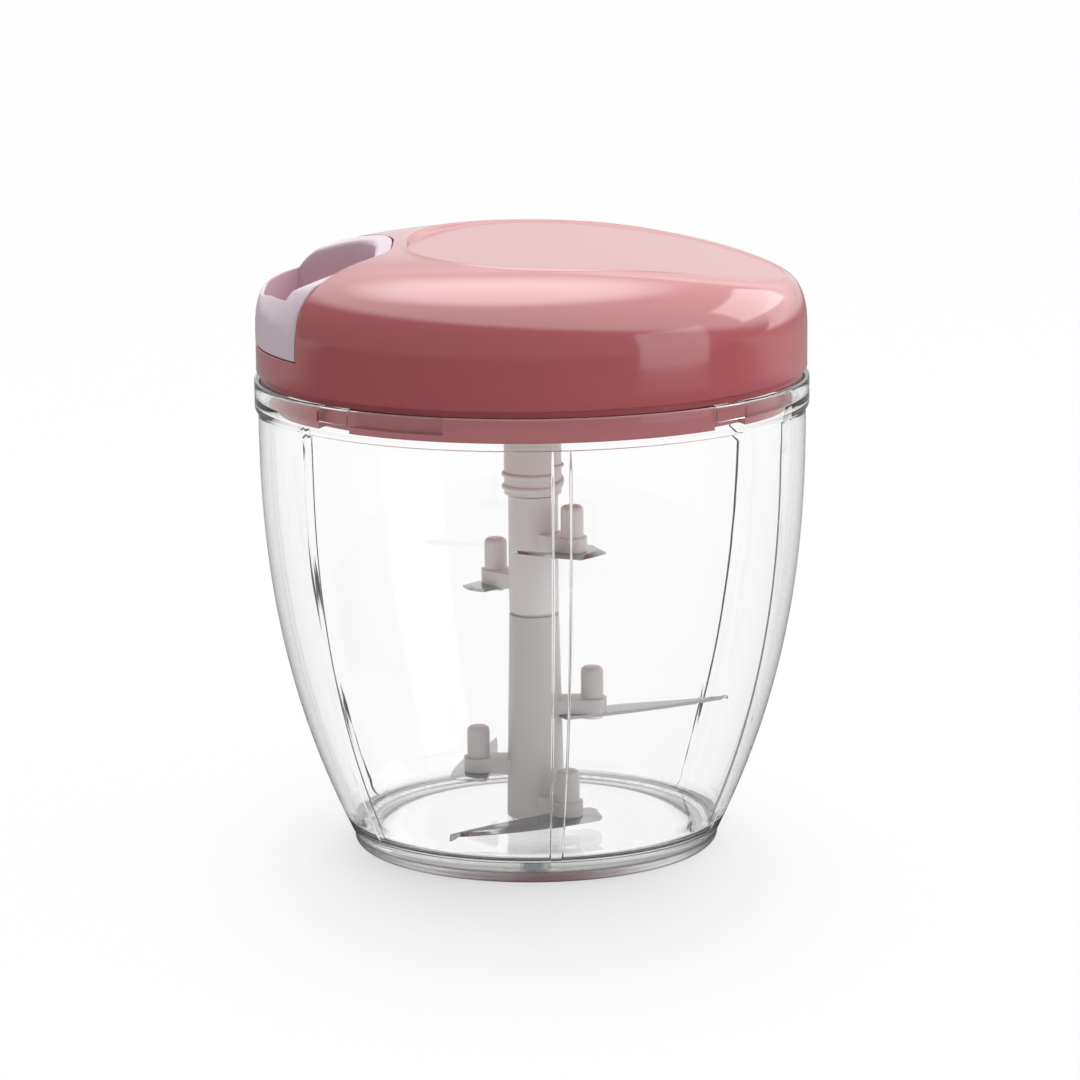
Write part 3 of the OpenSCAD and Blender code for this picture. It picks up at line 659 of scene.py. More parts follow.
    def build(self, material: bpy.types.Material) -> bpy.types.Object:
        """Wraps the section round the axis, with the ribs and lugs pushed out of the inner wall.

        Args:
            material: Finish of the bowl.

        Returns:
            The bowl.
        """
        line = self.profile()
        rings = []
        for degrees in self.columns():
            turn = math.radians(degrees)
            reach = [(r - self.push(degrees, r, z), z) for r, z in line]
            rings.append([(r * math.cos(turn), r * math.sin(turn), z) for r, z in reach])
        piece = wrap_grid("clear_bowl", rings, closed_rings=True, closed_ends=True)
        close_up(piece, self.weld)
        smooth(piece, 35)
        return settle(piece, Body.BOWL, "clear_plastic", material, "bowl")


@dataclass(frozen=True)
class Fan:
    """Plan of the handle or of its opening: straight inner end, round corners, spread sides, outer arc."""

    inner: float
    end: float
    corner: float
    spread: float
    outer: float

    def half(self, counts: tuple[int, int, int, int]) -> list[tuple[float, float]]:
        """Lists the outline's points from the middle of the inner end round to the middle of the arc.

        Args:
            counts: Number of steps on the inner end, corner, side and arc.

        Returns:
            Points on the +Y half.
        """
        lean = math.radians(self.spread)
        middle = Vector((-self.inner - self.corner, self.end))
        points = [(-self.inner, self.end * i / counts[0]) for i in range(counts[0])]
        last = math.pi / 2 - lean
        points += [(middle.x + self.corner * math.cos(last * i / counts[1]),
                    middle.y + self.corner * math.sin(last * i / counts[1])) for i in range(counts[1])]
        start = middle + self.corner * Vector((math.cos(last), math.sin(last)))
        along = Vector((-math.cos(lean), math.sin(lean)))
        half_b = start.dot(along)
        length = -half_b + math.sqrt(half_b ** 2 - start.length_squared + self.outer ** 2)
        points += [tuple(start + along * (length * i / counts[2])) for i in range(counts[2])]
        corner = start + along * length
        first = math.atan2(corner.y, corner.x)
        points += [(self.outer * math.cos(first + (math.pi - first) * i / counts[3]),
                    self.outer * math.sin(first + (math.pi - first) * i / counts[3])) for i in range(counts[3] + 1)]
        return points

    def loop(self, counts: tuple[int, int, int, int]) -> list[tuple[float, float]]:
        """Lists the whole outline, both halves, as one loop."""
        half = self.half(counts)
        return half + [(x, -y) for x, y in half[-2:0:-1]]


@dataclass
class LidShape:
    """Outside of the lid: turned shoulder, flat crown, sunk egg-shaped panel. Sizes in millimetres."""

    radius: float = 64.5
    low: float = 113.4
    bevel: float = 0.6
    shoulder_z: float = 121.5
    shoulder: float = 23.0
    power: float = 3.15
    handle_power: float = 3.35
    crown_z: float = 143.2
    crown_radius: float = 300.0
    crown_shift: float = 12.0
    panel_left: float = 29.0
    panel_right: float = 59.5
    panel_half: float = 41.7
    panel_skew: float = 0.22
    panel_blunt: float = 0.85
    panel_depth: float = 0.9
    panel_radius: float = 320.0
    panel_shift: float = 8.0
    handle_fall: float = 120.0
    far_lift: float = 1.4
    far_start: float = -5.0
    far_width: float = 20.0

    def dome(self, r: float, power: float, inset: float = 0.0) -> float:
        """Gives the height of the turned shoulder at a distance from the axis."""
        share = min(1.0, r / (self.radius - inset))
        return self.shoulder_z + (self.shoulder - inset) * max(0.0, 1 - share ** power) ** (1 / power)

    def crown(self, x: float, radius: float, shift: float, top: float) -> float:
        """Gives the height of a crown that curves from end to end."""
        return top - radius + math.sqrt(radius ** 2 - (x + shift) ** 2)

    def outside(self, x: float, y: float, soft: float = 1.2) -> float:
        """Gives the height of the lid outside the panel, with a soft turn between shoulder and crown.

        Args:
            x: Place along the lid.
            y: Place across it.
            soft: Difference in height over which the turn is softened.

        Returns:
            Height in millimetres.
        """
        dome = self.dome(math.hypot(x, y), self.power)
        crown = self.crown(x, self.crown_radius, self.crown_shift, self.crown_z)
        blend = max(0.0, 1 - abs(dome - crown) / soft)
        return min(dome, crown) - blend ** 2 * soft / 4

    def panel(self, x: float) -> float:
        """Gives the height of the sunk panel."""
        return self.crown(x, self.panel_radius, self.panel_shift, self.crown_z - self.panel_depth)

    def handle_top(self, x: float, y: float) -> float:
        """Gives the height of the handle's top.

        Args:
            x: Place along the lid.
            y: Place across it.

        Returns:
            Height in millimetres.
        """
        dome = self.dome(math.hypot(x, y), self.handle_power)
        far = min(1.0, max(0.0, (y - self.far_start) / self.far_width))
        return min(dome, self.crown(x, self.handle_fall, self.crown_shift, self.crown_z) + self.far_lift * far)

    def egg(self, a: float) -> Vector:
        """Gives the point of the panel's edge at an angle round its middle.

        Args:
            a: Angle in radians.

        Returns:
            Point in plan.
        """
        s = math.sin(a)
        wide = self.panel_half * abs(s) ** self.panel_blunt * (1 - self.panel_skew * math.cos(a))
        middle = (self.panel_right - self.panel_left) / 2
        reach = (self.panel_right + self.panel_left) / 2
        return Vector((middle + reach * math.cos(a), -wide if s < 0 else wide))


@dataclass
class Lid:
    """Lid cover: smooth skin over the shoulder and the panel, hollow inside, with the dock for the handle."""

    shape: LidShape
    columns: int = 288
    bead_mm: float = 0.3
    wall: float = 2.4
    dock_floor: float = 120.25
    dock_gap: float = 0.35
    dock_wall: float = 2.0
    above: float = 150.0
    margin: float = 1.2
    far_slope: float = 4.0
    shoulder_steps: int = 44
    side_heights: tuple[float, ...] = (119.0, 116.5)
    hollow_columns: int = 120
    hollow_steps: int = 30
    fan: Fan = Fan(32.4, 6.0, 26.0, 40.0, 80.0)
    panel_shares: tuple[float, ...] = (0.0, 0.15, 0.3, 0.45, 0.6, 0.72, 0.8)
    # Rings over the panel's edge: distance outwards, share of the climb to the crown, share of the bead.
    edge_rings: tuple[Point, ...] = (
        (-1.1, 0.0, 0.0), (-0.75, 0.0, 0.0), (-0.5, 0.15, 0.1), (-0.3, 0.55, 0.5), (-0.1, 0.9, 0.9),
        (0.15, 1.0, 1.0), (0.45, 1.0, 0.8), (0.8, 1.0, 0.35), (1.3, 1.0, 0.06))

    def panel_rings(self) -> list[list[Point]]:
        """Lists rings from the panel's middle out over its edge, with the bead and the soft slope at its back.

        Returns:
            Rings of points, inner ones first.
        """
        shape = self.shape
        edge = [shape.egg(2 * math.pi * (i + 0.5) / self.columns) for i in range(self.columns)]
        centre = Vector(((shape.panel_right - shape.panel_left) / 2, 0.0))
        rings = []
        for share in self.panel_shares:
            ring = [centre + (p - centre) * share for p in edge]
            rings.append([(p.x, p.y, min(shape.panel(p.x), shape.outside(p.x, p.y))) for p in ring])
        for off, climb, bead in self.edge_rings:
            ring = []
            for p in edge:
                far = max(0.0, p.y / shape.panel_half)
                q = p + (p - centre).normalized() * (off * (1 + self.far_slope * far) if off < 0 else off)
                r = q.length
                if r > shape.radius - self.margin:
                    q *= (shape.radius - self.margin) / r
                top = shape.outside(q.x, q.y)
                base = min(shape.panel(q.x), top)
                ring.append((q.x, q.y, base + (top - base) * climb + self.bead_mm * bead))
            rings.append(ring)
        return rings

    def skin_rings(self) -> list[list[Point]]:
        """Lists rings from the panel's middle over its edge and the shoulder down to the lower edge.

        Returns:
            Rings of points from the top down.
        """
        shape = self.shape
        rings = self.panel_rings()
        last = [Vector((x, y)) for x, y, _ in rings[-1]]
        for k in range(1, self.shoulder_steps + 1):
            ring = []
            for p in last:
                r0 = p.length
                first = math.acos(min(1.0, (r0 / shape.radius) ** (shape.power / 2)))
                turn = first * (1 - k / self.shoulder_steps)
                r = shape.radius * math.cos(turn) ** (2 / shape.power)
                q = p * (r / r0)
                ring.append((q.x, q.y, shape.outside(q.x, q.y)))
            rings.append(ring)
        rim = [p.normalized() for p in last]
        bevel = shape.bevel
        side = [(shape.radius, z) for z in (*self.side_heights, shape.low + bevel)]
        side += [(shape.radius - bevel * 0.3, shape.low + bevel * 0.3), (shape.radius - bevel, shape.low)]
        for r, z in side:
            rings.append([(p.x * r, p.y * r, z) for p in rim])
        return rings

    def hollow_rings(self) -> list[list[Point]]:
        """Lists rings of the space inside the shell, from its top down to below the lower edge.

        Returns:
            Rings of points from the top down.
        """
        shape = self.shape
        around = circle(self.hollow_columns)
        radius = shape.radius - self.wall
        rings = []
        for k in range(self.hollow_steps + 1):
            r = radius * math.sin(math.pi / 2 * k / self.hollow_steps)
            dome = shape.dome(r, shape.power, self.wall)
            rings.append([(r * math.cos(t), r * math.sin(t), min(dome, shape.panel(r * math.cos(t)) - self.wall))
                          for t in around])
        rings.append([(radius * math.cos(t), radius * math.sin(t), shape.low - 1.0) for t in around])
        return rings

    def prism(self, name: str, grow: float, low: float, high: float) -> bpy.types.Object:
        """Makes an upright block with the handle's plan.

        Args:
            name: Name of the block.
            grow: Distance by which the plan is grown.
            low: Height of its lower face.
            high: Height of its upper face.

        Returns:
            The closed block.
        """
        fan = Fan(self.fan.inner - grow, self.fan.end, self.fan.corner + grow, self.fan.spread, self.fan.outer)
        loop = fan.loop((4, 24, 4, 8))
        return cap_ends(wrap_grid(name, [[(x, y, low) for x, y in loop], [(x, y, high) for x, y in loop]]))

    def build(self, material: bpy.types.Material) -> bpy.types.Object:
        """Wraps the skin, hollows it and cuts the dock.

        Args:
            material: Finish of the lid.

        Returns:
            The lid cover.
        """
        piece = cap_ends(wrap_grid("lid_shell", self.skin_rings()))
        hollow = cap_ends(wrap_grid("lid_hollow", self.hollow_rings()))
        block = self.prism("dock_block", self.dock_gap + self.dock_wall, self.dock_floor - self.dock_wall, self.above)
        cut(hollow, block)
        cut(piece, hollow)
        cut(piece, self.prism("dock", self.dock_gap, self.dock_floor, self.above))
        smooth(piece, 34)
        return settle(piece, Body.LID, "pink_plastic", material, "lid_cover")


@dataclass
class Handle:
    """Ring handle: pale hoop that fills the dock, with a finger opening and rounded edges."""

    shape: LidShape
    low: float = 120.6
    plan: Fan = Fan(32.4, 6.0, 26.0, 40.0, 64.49)
    opening: Fan = Fan(36.4, 5.0, 20.0, 28.0, 62.1)
    counts: tuple[int, int, int, int] = (6, 30, 16, 40)
    lip: float = 1.1
    seam: float = 0.45
    foot: float = 0.4
    foot_cut: float = 0.12
    # Places across the hoop's top in shares of the lip, close together where its edges turn.
    near_parts: tuple[float, ...] = (0.0, 0.03, 0.1, 0.22, 0.4, 0.65, 1.0)
    far_parts: tuple[float, ...] = (1.0, 0.75, 0.55, 0.4, 0.3, 0.2, 0.1, 0.04, 0.01, 0.0)
    top_steps: int = 9
    wall_steps: int = 6

    def lower_edge(self, corner: Vector, way: Vector) -> list[Point]:
        """Lists the turn from a wall's foot to the underside.

        Args:
            corner: Foot of the wall in plan.
            way: Direction into the hoop.

        Returns:
            Points from the wall inwards.
        """
        steps = ((0.0, self.foot), (self.foot_cut, self.foot_cut), (self.foot, 0.0))
        return [(*(corner + way * inwards), self.low + up) for inwards, up in steps]

    def column(self, a: tuple[float, float], b: tuple[float, float], on_arc: bool) -> list[Point]:
        """Lists the section of the hoop at one place, up the opening's wall, over the top and down the outside.

        Args:
            a: Point of the opening's edge.
            b: Point of the outer edge.
            on_arc: Whether the outer edge is the lid's own side.

        Returns:
            Points of the closed section.
        """
        start, stop = Vector(a), Vector(b)
        span = (stop - start).length
        along = (stop - start) / span
        places = [self.lip * part for part in self.near_parts]
        places += [self.lip + (span - 2 * self.lip) * k / self.top_steps for k in range(1, self.top_steps)]
        places += [span - self.lip * part for part in self.far_parts]
        top = []
        for d in places:
            p = start + along * d
            z = self.shape.handle_top(p.x, p.y)
            if d < self.lip:
                z -= self.lip - math.sqrt(self.lip ** 2 - (self.lip - d) ** 2)
            if not on_arc and span - d < self.seam:
                z -= self.seam - math.sqrt(max(0.0, self.seam ** 2 - (self.seam - span + d) ** 2))
            top.append((p.x, p.y, z))
        wall = [(start.x, start.y, self.low + (top[0][2] - self.low) * k / self.wall_steps)
                for k in range(1, self.wall_steps)]
        side = [(stop.x, stop.y, self.low + (top[-1][2] - self.low) * part) for part in (0.75, 0.5)]
        return self.lower_edge(start, along)[::-1] + wall + top + side + self.lower_edge(stop, -along)

    def build(self, material: bpy.types.Material) -> bpy.types.Object:
        """Wraps the sections round the hoop.

        Args:
            material: Finish of the handle.

        Returns:
            The handle.
        """
        inside, outside = self.opening.loop(self.counts), self.plan.loop(self.counts)
        corner = sum(self.counts[:3])
        rings = []
        for i, (a, b) in enumerate(zip(inside, outside)):
            place = min(i, len(inside) - i)
            rings.append(self.column(a, b, place >= corner))
        piece = wrap_grid("ring_handle", rings, closed_rings=True, closed_ends=True)
        smooth(piece, 40)
        return settle(piece, Body.HANDLE, "pale_plastic", material, "pull_handle")


@dataclass
class BladeForm:
    """One curved blade: lens-shaped sheet with a ground edge, under its arm. Sizes in millimetres."""

    node: str
    height: float
    turn: float
    sweep: float
    length: float
    reach: float
    lift: float = 0.0
    thickness: float = 0.8
    belly: float = 6.5
    back: float = 3.0
    heel: float = 8.0
    bend: float = 4.5
    grind: float = 2.6
    edge: float = 0.12
    grind_share: float = 0.45
    least_width: float = 0.001
    heel_steps: int = 14
    length_steps: int = 44

    def ring(self, x: float) -> list[Point]:
        """Lists the blade's section at a distance from its rivet, round from the back's underside.

        Args:
            x: Distance from the rivet, towards the tip.

        Returns:
            Points of the closed section.
        """
        big = (self.length ** 2 + self.belly ** 2) / (2 * self.belly)
        wide = (self.length ** 2 + self.back ** 2) / (2 * self.back)
        cutting = self.belly - big + math.sqrt(big ** 2 - x ** 2)
        spine = wide - self.back - math.sqrt(wide ** 2 - x ** 2)
        if x < 0:
            round_end = math.sqrt(max(0.0, self.heel ** 2 - x ** 2))
            cutting, spine = min(cutting, round_end), max(spine, -round_end)
        width = max(cutting - spine, self.least_width)
        ground = min(self.grind, width * self.grind_share)
        low = max(0.0, x - self.bend) * math.tan(math.radians(self.lift))
        rows = [(spine + (width - ground) * k / 4, self.thickness) for k in range(5)]
        rows += [(cutting - ground + ground * k / 3, self.thickness + (self.edge - self.thickness) * k / 3)
                 for k in (1, 2, 3)]
        return [(x, y, low) for y, _ in rows] + [(x, y, low + t) for y, t in rows[::-1]]

    def build(self, material: bpy.types.Material) -> bpy.types.Object:
        """Wraps the sections from heel to tip and lays the blade under its arm.

        Args:
            material: Finish of the blade.

        Returns:
            The blade.
        """
        near = [-self.heel * math.cos(math.pi / 2 * k / self.heel_steps) for k in range(self.heel_steps + 1)]
        beyond = [self.length * math.sin(math.pi / 2 * k / self.length_steps) for k in range(1, self.length_steps + 1)]
        piece = wrap_grid(self.node + "_ground", [self.ring(x) for x in near + beyond])
        lay = (Matrix.Translation((0, 0, self.height * MM)) @ Matrix.Rotation(math.radians(self.turn), 4, "Z")
               @ Matrix.Translation((self.reach * MM, 0, -self.thickness * MM))
               @ Matrix.Rotation(math.radians(self.sweep), 4, "Z"))
        piece.data.transform(lay)
        smooth(piece, 25)
        return settle(piece, Body.BLADES, "blade_steel", material, self.node)


@dataclass
class PullCord:
    """Short stretch of cord from the eyelet into the handle."""

    start_x: float = -32.05
    end_x: float = -35.0
    z: float = 124.5
    radius: float = 0.8
    rings: int = 60
    sides: int = 20

    def build(self, material: bpy.types.Material) -> bpy.types.Object:
        """Draws a cylinder's side into many rings between the lid and the handle.

        Args:
            material: Finish of the cord.

        Returns:
            The cord.
        """
        rings = []
        for k in range(self.rings + 1):
            x = self.start_x + (self.end_x - self.start_x) * k / self.rings
            rings.append([(x, self.radius * math.cos(t), self.z + self.radius * math.sin(t))
                          for t in circle(self.sides)])
        piece = cap_ends(wrap_grid("drawn_cord", rings))
        smooth(piece, 40)
        dress(piece, material)
        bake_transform(piece)
        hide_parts("pull_cord")
        log.info("drawn_cord: stretches from lid to handle")
        return piece


@dataclass
class WoundCord:
    """Cord on the reel: one unbroken tube wound in side-by-side turns. Sizes in millimetres."""

    radius: float = 21.84
    tube: float = 0.75
    low: float = 121.15
    high: float = 127.85
    turns: int = 4
    steps: int = 72
    sides: int = 12

    def build(self, material: bpy.types.Material) -> bpy.types.Object:
        """Wraps rings along the helix and lays it on the reel.

        Args:
            material: Finish of the cord.

        Returns:
            The winding.
        """
        rings = []
        count = self.turns * self.steps
        for k in range(count + 1):
            turn = 2 * math.pi * k / self.steps
            middle = self.low + (self.high - self.low) * k / count
            ring = []
            for a in circle(self.sides):
                r = self.radius + self.tube * math.cos(a)
                ring.append((r * math.cos(turn), r * math.sin(turn), middle + self.tube * math.sin(a)))
            rings.append(ring)
        piece = cap_ends(wrap_grid("wound_cord", rings))
        smooth(piece, 40)
        return settle(piece, Body.REEL, "cord", material, "cord_winding")


@dataclass(frozen=True)
class SweepPaper:
    """White background paper, lit from behind. Distances in metres."""

    name: str = "white_paper"
    colour: str = "#F4F4F4"
    dark_colour: str = "#303030"
    glow: float = 0.5
    glow_through: float = 0.95
    glow_far: float = 0.97
    glow_range: tuple[float, float] = (0.04, 0.2)
    oval: Point = (2.2, 1.0, 1.0)
    oval_shift: Point = (0.0, 0.03, 0.0)
    bloom: float = 1.08
    rise_range: tuple[float, float] = (0.02, 0.15)
    front_range: tuple[float, float] = (0.4, 0.0)
    front_least: float = 0.65
    bounce_loss: float = 0.3
    slant: float = 0.5
    slant_range: tuple[float, float] = (0.5, 1.2)
    slant_glow: float = 1.7

    def material(self) -> bpy.types.Material:
        """Builds the material: white paper that glows far off, is softly grey at the foot and dark to mirrors.

        Returns:
            The material.
        """
        material, tree = new_material(self.name)
        path = add_node(tree, "ShaderNodeLightPath").outputs
        spot = add_node(tree, "ShaderNodeTexCoord").outputs["Object"]
        place = add_node(tree, "ShaderNodeSeparateXYZ", None, {0: spot}).outputs
        # Rays straight from the camera or through the bowl see the glow; mirrors see it only where the paper rises.
        risen = add_node(tree, "ShaderNodeMapRange", {"interpolation_type": "SMOOTHSTEP"},
                         {"Value": place["Z"], "From Min": self.rise_range[0], "From Max": self.rise_range[1]})
        gleam = add_node(tree, "ShaderNodeMath", {"operation": "MULTIPLY"},
                         {0: path["Is Glossy Ray"], 1: risen.outputs["Result"]})
        seen = add_node(tree, "ShaderNodeMath", {"operation": "MAXIMUM"},
                        {0: path["Is Camera Ray"], 1: path["Is Transmission Ray"]})
        either = add_node(tree, "ShaderNodeMath", {"operation": "MAXIMUM"},
                          {0: seen.outputs["Value"], 1: gleam.outputs["Value"]})
        # The glow is weak in an oval round the foot, so that the contact shadow shows there.
        ahead = add_node(tree, "ShaderNodeVectorMath", {"operation": "MULTIPLY_ADD"},
                         {0: spot, 1: self.oval, 2: self.oval_shift})
        away = add_node(tree, "ShaderNodeVectorMath", {"operation": "LENGTH"}, {0: ahead.outputs["Vector"]})
        near = add_node(tree, "ShaderNodeMix", {"data_type": "FLOAT"},
                        {0: path["Is Transmission Ray"], 2: self.glow, 3: self.glow_through})
        level = add_node(tree, "ShaderNodeMapRange", {"interpolation_type": "SMOOTHSTEP"},
                         {"Value": away.outputs["Value"], "From Min": self.glow_range[0],
                          "From Max": self.glow_range[1], "To Min": near.outputs[0], "To Max": self.glow_far})
        share = add_node(tree, "ShaderNodeMath", {"operation": "MULTIPLY"},
                         {0: either.outputs["Value"], 1: level.outputs["Result"]})
        # Mirrors see the flat floor dark, most of all in front, which gives the lid its dark lower side.
        plain = add_node(tree, "ShaderNodeMath", {"operation": "SUBTRACT"},
                         {0: path["Is Glossy Ray"], 1: gleam.outputs["Value"]})
        front = add_node(tree, "ShaderNodeMapRange", {"interpolation_type": "SMOOTHSTEP"},
                         {"Value": place["Y"], "From Min": self.front_range[0], "From Max": self.front_range[1],
                          "To Min": self.front_least})
        hidden = add_node(tree, "ShaderNodeMath", {"operation": "MULTIPLY"},
                          {0: plain.outputs["Value"], 1: front.outputs["Result"]})
        unlit = add_node(tree, "ShaderNodeMath", {"operation": "MULTIPLY_ADD"},
                         {0: path["Is Diffuse Ray"], 1: self.bounce_loss, 2: hidden.outputs["Value"]})
        tint = add_node(tree, "ShaderNodeMix", {"data_type": "RGBA"},
                        {0: unlit.outputs["Value"], 6: linear(self.colour), 7: linear(self.dark_colour)})
        paper = add_node(tree, "ShaderNodeBsdfDiffuse", None, {"Color": tint.outputs[2]})
        # Mirrors see the rise brighter towards its upper right.
        aside = add_node(tree, "ShaderNodeMath", {"operation": "MULTIPLY_ADD"},
                         {0: place["X"], 1: self.slant, 2: place["Z"]})
        brighter = add_node(tree, "ShaderNodeMapRange", {"interpolation_type": "SMOOTHSTEP"},
                            {"Value": aside.outputs["Value"], "From Min": self.slant_range[0],
                             "From Max": self.slant_range[1], "To Min": 1.0, "To Max": self.slant_glow})
        mirrored = add_node(tree, "ShaderNodeMix", {"data_type": "FLOAT"},
                            {0: path["Is Glossy Ray"], 2: 1.0, 3: brighter.outputs["Result"]})
        strength = add_node(tree, "ShaderNodeMix", {"data_type": "FLOAT"},
                            {0: path["Is Transmission Ray"], 2: mirrored.outputs[0], 3: self.bloom})
        glow = add_node(tree, "ShaderNodeEmission", None,
                        {"Color": linear("#FFFFFF"), "Strength": strength.outputs[0]})
        mixed = add_node(tree, "ShaderNodeMixShader", None,
                         {0: share.outputs["Value"], 1: paper.outputs["BSDF"], 2: glow.outputs["Emission"]})
        # The back is open, so that a camera behind the paper sees the object.
        side = add_node(tree, "ShaderNodeNewGeometry").outputs["Backfacing"]
        open_back = add_node(tree, "ShaderNodeBsdfTransparent")
        shown = add_node(tree, "ShaderNodeMixShader", None,
                         {0: side, 1: mixed.outputs["Shader"], 2: open_back.outputs["BSDF"]})
        add_node(tree, "ShaderNodeOutputMaterial", None, {"Surface": shown.outputs["Shader"]})
        return material


# White paper of the sweep: pure white to the eye, with a soft grey shadow round the foot.
PAPER = SweepPaper()


@dataclass(frozen=True)
class Lamp:
    """Soft rectangular lamp. Sizes in metres, power in watts."""

    name: str
    place: Point
    size: tuple[float, float]
    watts: float
    target: Point = (0.0, 0.0, 0.12)

    def hang(self) -> None:
        """Hangs the lamp and points it at its target."""
        data = bpy.data.lights.new(self.name, "AREA")
        data.shape = "RECTANGLE"
        data.size, data.size_y = self.size
        data.energy = self.watts
        lamp = bpy.data.objects.new(self.name, data)
        bpy.context.scene.collection.objects.link(lamp)
        way = Vector(self.target) - Vector(self.place)
        lamp.matrix_world = Matrix.Translation(self.place) @ way.to_track_quat("-Z", "Y").to_matrix().to_4x4()


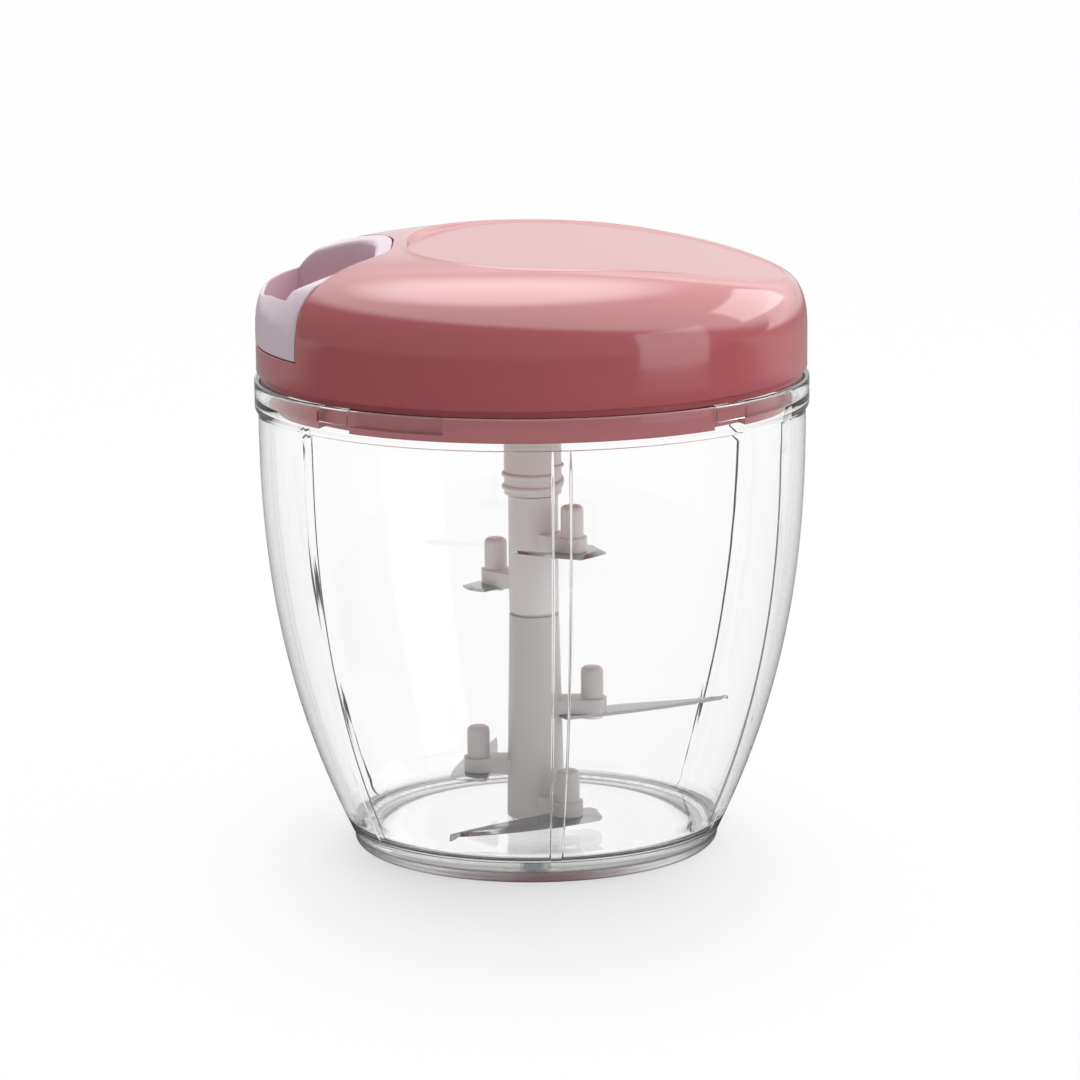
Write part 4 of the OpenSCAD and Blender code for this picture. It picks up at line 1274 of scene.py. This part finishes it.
@dataclass
class Studio:
    """White sweep, soft lamps and the camera at the photograph's angle. Sizes in metres."""

    distance: float = 1.0
    elevation: float = 11.59
    roll: float = 0.55
    aim: Point = (0.00155, 0.0, 0.07171)
    lens: float = 140.99
    sensor: float = 36.0
    nearest: float = 0.05
    floor_rows: tuple[float, ...] = (-3.0, -1.0, 0.4, 0.9)
    columns: tuple[float, ...] = (-3.0, -1.0, 0.0, 1.0, 3.0)
    bend: float = 0.6
    wall_top: float = 1.1
    dim: float = 0.15
    ceiling: float = 1.15
    ceiling_way: Point = (0.3, 0.3, 0.9)
    ceiling_range: tuple[float, float] = (0.38, 0.56)
    overhead: float = 1.6
    overhead_way: Point = (-0.07, 0.495, 0.866)
    overhead_range: tuple[float, float] = (0.89, 0.985)
    through_least: float = 0.7
    lamps: tuple[Lamp, ...] = (Lamp("right_reflector", (0.86, 0.46, 0.62), (0.8, 0.5), 1.8),
                               Lamp("right_window", (0.686, -0.412, 0.18), (0.46, 0.56), 0.62))

    def camera(self) -> None:
        """Places the camera in front of the object, a little above it."""
        data = bpy.data.cameras.new("photo_camera")
        data.lens = self.lens
        data.sensor_width = self.sensor
        data.clip_start = self.nearest
        camera = bpy.data.objects.new("photo_camera", data)
        bpy.context.scene.collection.objects.link(camera)
        rise = math.radians(self.elevation)
        back = Vector((0.0, -math.cos(rise), math.sin(rise)))
        turn = (-back).to_track_quat("-Z", "Y").to_matrix().to_4x4()
        roll = Matrix.Rotation(-math.radians(self.roll), 4, "Z")
        camera.matrix_world = Matrix.Translation(Vector(self.aim) + back * self.distance) @ turn @ roll
        bpy.context.scene.camera = camera

    def sweep(self) -> None:
        """Makes the floor with its curved rise behind the object."""
        line = [(y, 0.0) for y in self.floor_rows]
        start = self.floor_rows[-1]
        line += [(start + self.bend * math.sin(a), self.bend - self.bend * math.cos(a))
                 for a in map(math.radians, range(9, 91, 9))]
        line += [(start + self.bend, self.wall_top)]
        rings = [[(x / MM, y / MM, z / MM) for y, z in line] for x in self.columns]
        piece = wrap_grid("paper_sweep", rings, closed_rings=False)
        select_only(piece)
        bpy.ops.object.mode_set(mode="EDIT")
        bpy.ops.mesh.select_all(action="SELECT")
        bpy.ops.mesh.flip_normals()
        bpy.ops.object.mode_set(mode="OBJECT")
        smooth(piece, 60)
        dress(piece, PAPER.material())

    def light(self) -> None:
        """Lights the object: bright ceiling above and behind, reflector and pale window at the right, dim in front."""
        for lamp in self.lamps:
            lamp.hang()
        world = bpy.data.worlds.new("pale_room")
        bpy.context.scene.world = world
        world.use_nodes = True
        tree = world.node_tree
        tree.nodes.clear()
        way = add_node(tree, "ShaderNodeTexCoord").outputs["Generated"]
        open_side = add_node(tree, "ShaderNodeVectorMath", {"operation": "DOT_PRODUCT"}, {0: way, 1: self.ceiling_way})
        lean = add_node(tree, "ShaderNodeVectorMath", {"operation": "DOT_PRODUCT"}, {0: way, 1: self.overhead_way})
        above = add_node(tree, "ShaderNodeMapRange", {"interpolation_type": "SMOOTHSTEP"},
                         {"Value": open_side.outputs["Value"], "From Min": self.ceiling_range[0],
                          "From Max": self.ceiling_range[1], "To Min": self.dim, "To Max": self.dim + self.ceiling})
        bright = add_node(tree, "ShaderNodeMapRange", {"interpolation_type": "SMOOTHSTEP"},
                          {"Value": lean.outputs["Value"], "From Min": self.overhead_range[0],
                           "From Max": self.overhead_range[1], "To Max": self.overhead})
        room = add_node(tree, "ShaderNodeMath", {"operation": "ADD"},
                        {0: above.outputs["Result"], 1: bright.outputs["Result"]})
        # Rays through the clear bowl never see the room darker than this, and the camera sees it white.
        path = add_node(tree, "ShaderNodeLightPath").outputs
        inside = add_node(tree, "ShaderNodeMath", {"operation": "GREATER_THAN"},
                          {0: path["Transmission Depth"], 1: 0.5})
        through = add_node(tree, "ShaderNodeMath", {"operation": "MULTIPLY"},
                           {0: inside.outputs["Value"], 1: self.through_least})
        least = add_node(tree, "ShaderNodeMath", {"operation": "MAXIMUM"},
                         {0: room.outputs["Value"], 1: through.outputs["Value"]})
        level = add_node(tree, "ShaderNodeMix", {"data_type": "FLOAT"},
                         {0: path["Is Camera Ray"], 2: least.outputs["Value"], 3: 1.0})
        air = add_node(tree, "ShaderNodeBackground", None, {"Color": linear("#FFFFFF"), "Strength": level.outputs[0]})
        add_node(tree, "ShaderNodeOutputWorld", None, {"Surface": air.outputs["Background"]})

    def build(self) -> None:
        """Sets up camera, sweep and lamps."""
        self.camera()
        self.sweep()
        self.light()
        bpy.context.scene.view_settings.view_transform = "Standard"


def dress_nodes() -> None:
    """Gives the CAD nodes that stay their finishes."""
    finishes = {
        ROSE_SHADED_INNER: ("lid_base",),
        SHAFT: ("upper_shaft", "drive_sleeve"),
        SHADED_LOWER_SHAFT: ("lower_shaft",),
        REEL_WHITE: ("reel", "reel_cap", "bearing_bush"),
        STEEL: ("pivot_pin", "axle_pin", "lower_rivets", "upper_rivets", "lid_screws", "sleeve_screw", "rewind_spring"),
        BRASS: ("cord_eyelet", "cord_stopper"),
    }
    for finish, names in finishes.items():
        material = finish.material()
        for name in names:
            dress(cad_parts[name], material)
            log.info("%s: %s", name, material.name)


def main() -> None:
    """Builds the studio and every piece of the chopper."""
    logging.basicConfig(level=logging.INFO, format="%(message)s")
    Studio().build()
    dress_nodes()
    shape = LidShape()
    Bowl().build(CLEAR.material())
    Lid(shape).build(ROSE.material())
    Handle(shape).build(PALE.material())
    steel = BLADE.material()
    for form in (BladeForm("blade_1", height=8.2, turn=-56, sweep=-93, length=32, reach=13.6),
                 BladeForm("blade_2", height=16.1, turn=178, sweep=-95, length=32, reach=13.6),
                 BladeForm("blade_3", height=30.5, turn=-2, sweep=24, length=36, reach=13.6),
                 BladeForm("blade_4", height=60.0, turn=137, sweep=-87, length=24, reach=12.4, lift=12),
                 BladeForm("blade_5", height=71.0, turn=-43, sweep=-87, length=21, reach=12.4, lift=12)):
        form.build(steel)
    braid = BRAID.material()
    dress(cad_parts["cord_lead"], braid)
    PullCord().build(braid)
    WoundCord().build(braid)


if __name__ == "__main__":
    main()
